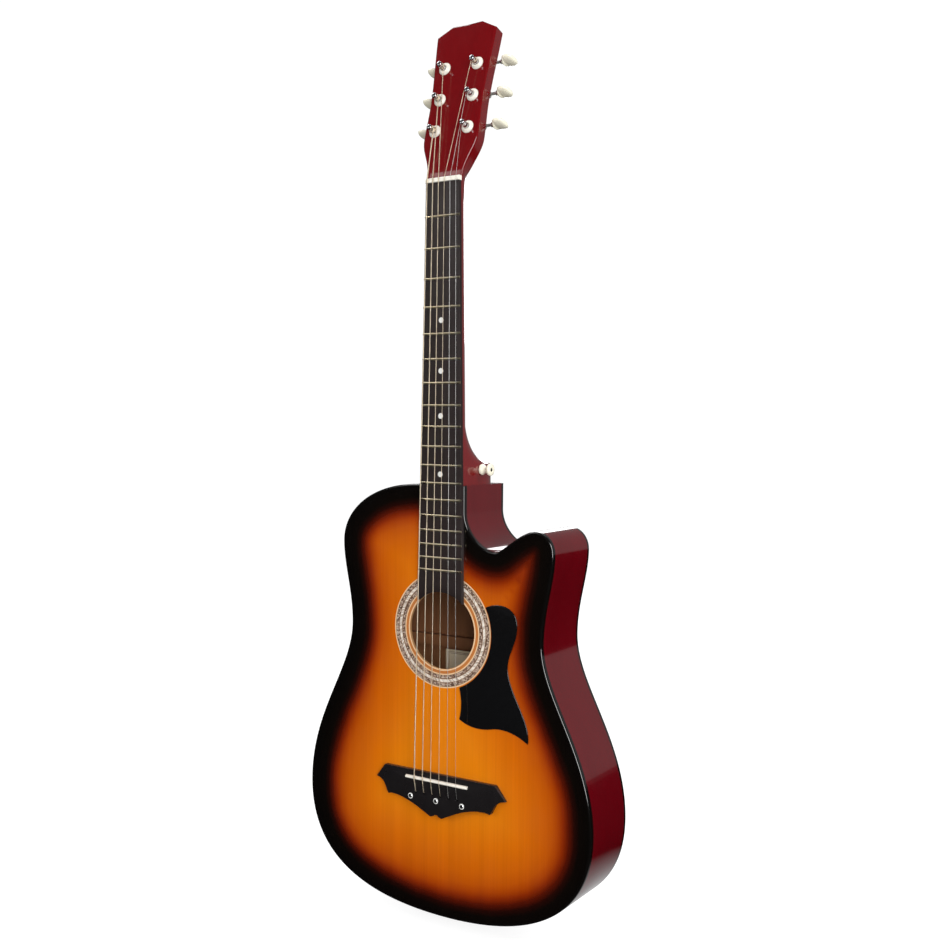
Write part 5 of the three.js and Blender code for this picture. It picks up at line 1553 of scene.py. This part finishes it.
# Both flanges list (share of the flange's radius, share of the length); the waist its narrowing and the same.
SEAT_FLANGE = [(0, 0.0), (0.82, 0.0), (0.88, 0.03), (0.88, 0.17), (0.8, 0.24)]
WAIST = [(0, 0.34), (0.15, 0.48), (0, 0.6)]
OUTER_FLANGE = [(0.8, 0.7), (0.95, 0.76), (1.0, 0.82), (1.0, 0.9), (0.93, 0.97), (0.8, 1.0), (0.36, 1.0),
                (0.34, 0.97), (0, 0.96)]
STRAP_SCREW = [(0, -1), (2.1, -1), (2.1, -0.35), (1.5, -0.1), (0, 0)]  # from the spool's outer end
CROSS_LONG, CROSS_SHORT = 1.3, 0.2
TAIL_PIN = [(0, -24), (3.2, -24), (4, -1), (0, -1)]


def spool(flange, waist, length):
    profile = [(share * flange, at * length) for share, at in SEAT_FLANGE]
    profile += [(waist - narrowing, at * length) for narrowing, at in WAIST]
    profile += [(share * flange, at * length) for share, at in OUTER_FLANGE]
    return turned("spool", profile, CREAM, 48, 40)


def strap_screw(length):
    head = turned("strap_screw", [(radius, length + y) for radius, y in STRAP_SCREW], CHROME, 24)
    arms = ((CROSS_LONG, CROSS_SHORT), (CROSS_SHORT, CROSS_LONG))
    # the cross is two dark bars of painted shade set into the dome, not a cut
    cross = [plate("cross", rectangle(-x, x, -z, z), length - 0.3, length - 0.015, [PAINTED_RECESS_SHADE])
             for x, z in arms]
    return [head, *cross]


heel_place = Matrix.Translation((STRAP_SEAT * MM, (FRONT + STRAP_DEPTH) * MM,
                                 (BODY_LENGTH + STRAP_HEIGHT) * MM)) @ Matrix.Rotation(-math.pi / 2, 4, "Z")
heel_button = joined("heel_button", [spool(*HEEL_SPOOL), *strap_screw(HEEL_SPOOL[2])], 40)
new_piece("heel_spool", moved(heel_button, heel_place), "root", ["heel_strap_button"])
tail_place = Matrix.Translation((0, 0, -GAP * MM)) @ Matrix.Rotation(-math.pi / 2, 4, "X")
tail_button = joined("tail", [spool(*TAIL_SPOOL), turned("tail_pin", TAIL_PIN, CREAM, 24)], 40)
new_piece("tail_spool", moved(tail_button, tail_place), "root", ["end_pin"])
print("strap holders: 2")

# %% [markdown]
# ## Inside the body
# Through the soundhole one sees the bare inner back, a brace across it and a paper label, and in the
# corners the lining, a strip sawn almost through so that it bends. Its many blocks are set by Geometry
# Nodes along the outline. The label here is blank paper with a printed border.
# %% Kerfed linings
LINING_HEIGHT, LINING_THICK, KERF_PITCH, KERF_WIDTH = 13.0, 6.0, 9.0, 1.5
BLOCK_SHY = (0.1, 0.4)  # how much less tall and thick a block is than the room for it


def lining_tree():
    inputs = [("Edge", "Geometry", None), ("Pitch", "Float", 0.009), ("Block", "Vector", None),
              ("Material", "Material", None)]
    tree, given, out = new_tree("kerfed_lining", "GeometryNodeTree", inputs, GEOMETRY)
    path = put(tree, "GeometryNodeMeshToCurve", {"Mesh": given["Edge"]}).outputs[0]
    spots = put(tree, "GeometryNodeCurveToPoints", {"Curve": path, "Length": given["Pitch"]}, mode="LENGTH")
    block = put(tree, "GeometryNodeMeshCube", {"Size": given["Block"]}).outputs[0]
    turn = put(tree, "FunctionNodeAlignRotationToVector", {"Vector": spots.outputs["Tangent"]}, axis="X",
               pivot_axis="Y").outputs[0]
    blocks = put(tree, "GeometryNodeInstanceOnPoints",
                 {"Points": spots.outputs[0], "Instance": block, "Rotation": turn})
    end_tree(tree, out, blocks.outputs[0], given["Material"])
    return tree


def edge_loop(distance, y):
    loop = inset(OUTLINE, distance)
    mesh = bpy.data.meshes.new("edge")
    count = len(loop)
    edges = [(i, (i + 1) % count) for i in range(count)]
    mesh.from_pydata([(x * MM, y * MM, z * MM) for x, z in loop], edges, [])
    return mesh


LINING_TREE = lining_tree()
block_size = ((KERF_PITCH - KERF_WIDTH) * MM, (LINING_HEIGHT - BLOCK_SHY[0]) * MM,
              (LINING_THICK - BLOCK_SHY[1]) * MM)
for name, y, node in (("front_lining", FRONT + TOP_THICK + LINING_HEIGHT / 2, "top_lining"),
                      ("rear_lining", BACK - BACK_THICK - LINING_HEIGHT / 2, "back_lining")):
    run_tree(name, LINING_TREE, {"Pitch": KERF_PITCH * MM, "Block": block_size, "Material": BARE_WOOD},
             "root", [node], start=edge_loop(SIDE_THICK + LINING_THICK / 2, y))

# %% Label and the CAD's own wooden parts
LABEL = (-46.0, 4.0, 214.0, 272.0)  # its two sides, its foot and its head
LABEL_Y = BACK - BACK_THICK
BORDER_MARGINS, BORDER_WIDTH = (2.5, 4.0), 0.4


def printed_line(margin):
    """A thin line all round, this far inside the label's edge."""
    x0, x1, z0, z1 = LABEL
    outer = rectangle(x0 + margin, x1 - margin, z0 + margin, z1 - margin)
    return plate("border", outer, LABEL_Y - 0.17, LABEL_Y - 0.1, [LABEL_INK], [inset(outer, BORDER_WIDTH)])


sheet = plate("label_sheet", rectangle(*LABEL), LABEL_Y - 0.15, LABEL_Y + 0.1, [PAPER])
label = joined("paper_label", [sheet, *(printed_line(margin) for margin in BORDER_MARGINS)])
new_piece("paper_label", label, "root", [])
INSIDE_WOODS = {BARE_WOOD: ("neck_block", "tail_block", "bridge_plate", "top_brace_upper", "top_brace_middle",
                            "top_brace_lower"),
                BROWN_WOOD: ("back_brace_upper", "back_brace_lower")}
for wood, names in INSIDE_WOODS.items():
    for name in names:
        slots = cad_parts[name].data.materials
        slots.clear()
        slots.append(wood)
print("label:", LABEL[1] - LABEL[0], "by", LABEL[3] - LABEL[2], "mm")

# %% [markdown]
# ## Floor and light
# The guitar stands on its tail pin on a pale floor. A product picture wants soft light from large lamps
# and a bright plain surround. Gloss lacquer mirrors whatever stands in front of it, so the surround is
# bright to the camera and soft to matt surfaces, but dim in reflections: black then stays black, and only
# the lamps draw highlights along the edges.
# %% Floor
FLOOR_Z = CAD_BOX[0].z - 0.0006
FLOOR_HALF, FLOOR_GREY, FLOOR_GLOW = 12.0, (150, 150, 150), 0.86
PATCH_SCALE, PATCH_SHIFT, PATCH_GLOW = (6.0, 6.0, 6.0), (-0.6, -0.72, 0.0), 0.6


def floor():
    """White to the camera, pale to matt surfaces; gloss sees only a bright patch behind the guitar."""
    material = bpy.data.materials.new("pale_floor")
    material.use_nodes = True
    tree = material.node_tree
    tree.nodes.remove(tree.nodes["Principled BSDF"])
    matt = put(tree, "ShaderNodeBsdfDiffuse", {"Color": linear(*FLOOR_GREY)}).outputs[0]
    glow = {"Color": linear(255, 255, 255), "Strength": FLOOR_GLOW}
    white = put(tree, "ShaderNodeAddShader", {0: matt, 1: put(tree, "ShaderNodeEmission", glow).outputs[0]})
    patch = put(tree, "ShaderNodeMapping",
                {"Vector": object_place(tree), "Location": PATCH_SHIFT, "Scale": PATCH_SCALE}).outputs[0]
    fading = put(tree, "ShaderNodeTexGradient", {"Vector": patch}, gradient_type="SPHERICAL").outputs["Fac"]
    strength = math_node(tree, "MULTIPLY", fading, PATCH_GLOW)
    mirrored = put(tree, "ShaderNodeEmission", {"Strength": strength}).outputs[0]
    path = put(tree, "ShaderNodeLightPath").outputs
    seen = {0: path["Is Camera Ray"], 1: matt, 2: white.outputs[0]}
    both = {0: path["Is Glossy Ray"], 1: put(tree, "ShaderNodeMixShader", seen).outputs[0], 2: mirrored}
    mixed = put(tree, "ShaderNodeMixShader", both).outputs[0]
    tree.links.new(mixed, tree.nodes["Material Output"].inputs["Surface"])
    mesh = bpy.data.meshes.new("floor")
    corners = rectangle(-FLOOR_HALF, FLOOR_HALF, -FLOOR_HALF, FLOOR_HALF)
    mesh.from_pydata([(x, y, FLOOR_Z) for x, y in corners], [], [(0, 1, 2, 3)])
    mesh.materials.append(material)
    linked("floor", mesh)


floor()
print("floor at", round(FLOOR_Z, 4))

# %% Surround and lamps
REFLECTED_SURROUND, MATT_SURROUND, SEEN_SURROUND = 0.025, 0.6, 1.05  # as gloss, matt and camera see it


def surround():
    world = bpy.data.worlds.new("studio")
    world.use_nodes = True
    bpy.context.scene.world = world
    tree = world.node_tree
    path = put(tree, "ShaderNodeLightPath").outputs
    background = tree.nodes["Background"]
    glossy = math_node(tree, "MULTIPLY", path["Is Glossy Ray"], REFLECTED_SURROUND)
    seen = math_node(tree, "MULTIPLY", path["Is Camera Ray"], SEEN_SURROUND)
    not_glossy = math_node(tree, "SUBTRACT", 1.0, path["Is Glossy Ray"])
    soft = math_node(tree, "MULTIPLY", not_glossy, MATT_SURROUND)
    lit = math_node(tree, "MULTIPLY", math_node(tree, "SUBTRACT", 1.0, path["Is Camera Ray"]),
                    math_node(tree, "ADD", glossy, soft))
    tree.links.new(math_node(tree, "ADD", lit, seen), background.inputs["Strength"])
    background.inputs["Color"].default_value = (1, 1, 1, 1)


def lamp(name, place, target, size, watts, mirrored=True):
    """A rectangular area lamp. mirrored says whether gloss shows it."""
    data = bpy.data.lights.new(name, "AREA")
    data.shape = "RECTANGLE"
    data.size, data.size_y = size
    data.energy = watts
    made = linked(name, data)
    made.location = place
    made.rotation_mode = "QUATERNION"
    made.rotation_quaternion = (Vector(target) - Vector(place)).to_track_quat("-Z", "Y")
    made.visible_glossy = mirrored
    made.visible_camera = False


lamp("key", (2.0, -1.75, 0.95), (0, 0, 0.5), (1.6, 1.9), 60)
lamp("fill", (-2.4, -2.6, 1.2), (0, 0, 0.45), (1.8, 1.8), 22, False)
lamp("board_panel", (-1.4, -2.1, 1.5), (0, 0, 0.75), (1.2, 0.9), 4.8)
lamp("left_high", (-1.5, 0.0, 2.6), (0, 0, 0.6), (1.2, 0.9), 16)
lamp("backdrop", (0.4, 1.9, 1.15), (0.4, 0, 1.15), (4.4, 1.9), 3.9)
lamp("back_lamp", (-1.3, 2.4, 1.3), (0, 0, 0.6), (1.0, 1.0), 14)
lamp("right_high", (1.9, 0.5, 2.2), (0.1, 0, 0.35), (1.2, 1.2), 18, False)
lamp("top_panel", (0.2, 0.6, 3.2), (0, 0, 0.5), (1.6, 1.6), 8)
surround()
bpy.context.scene.view_settings.view_transform = "Standard"
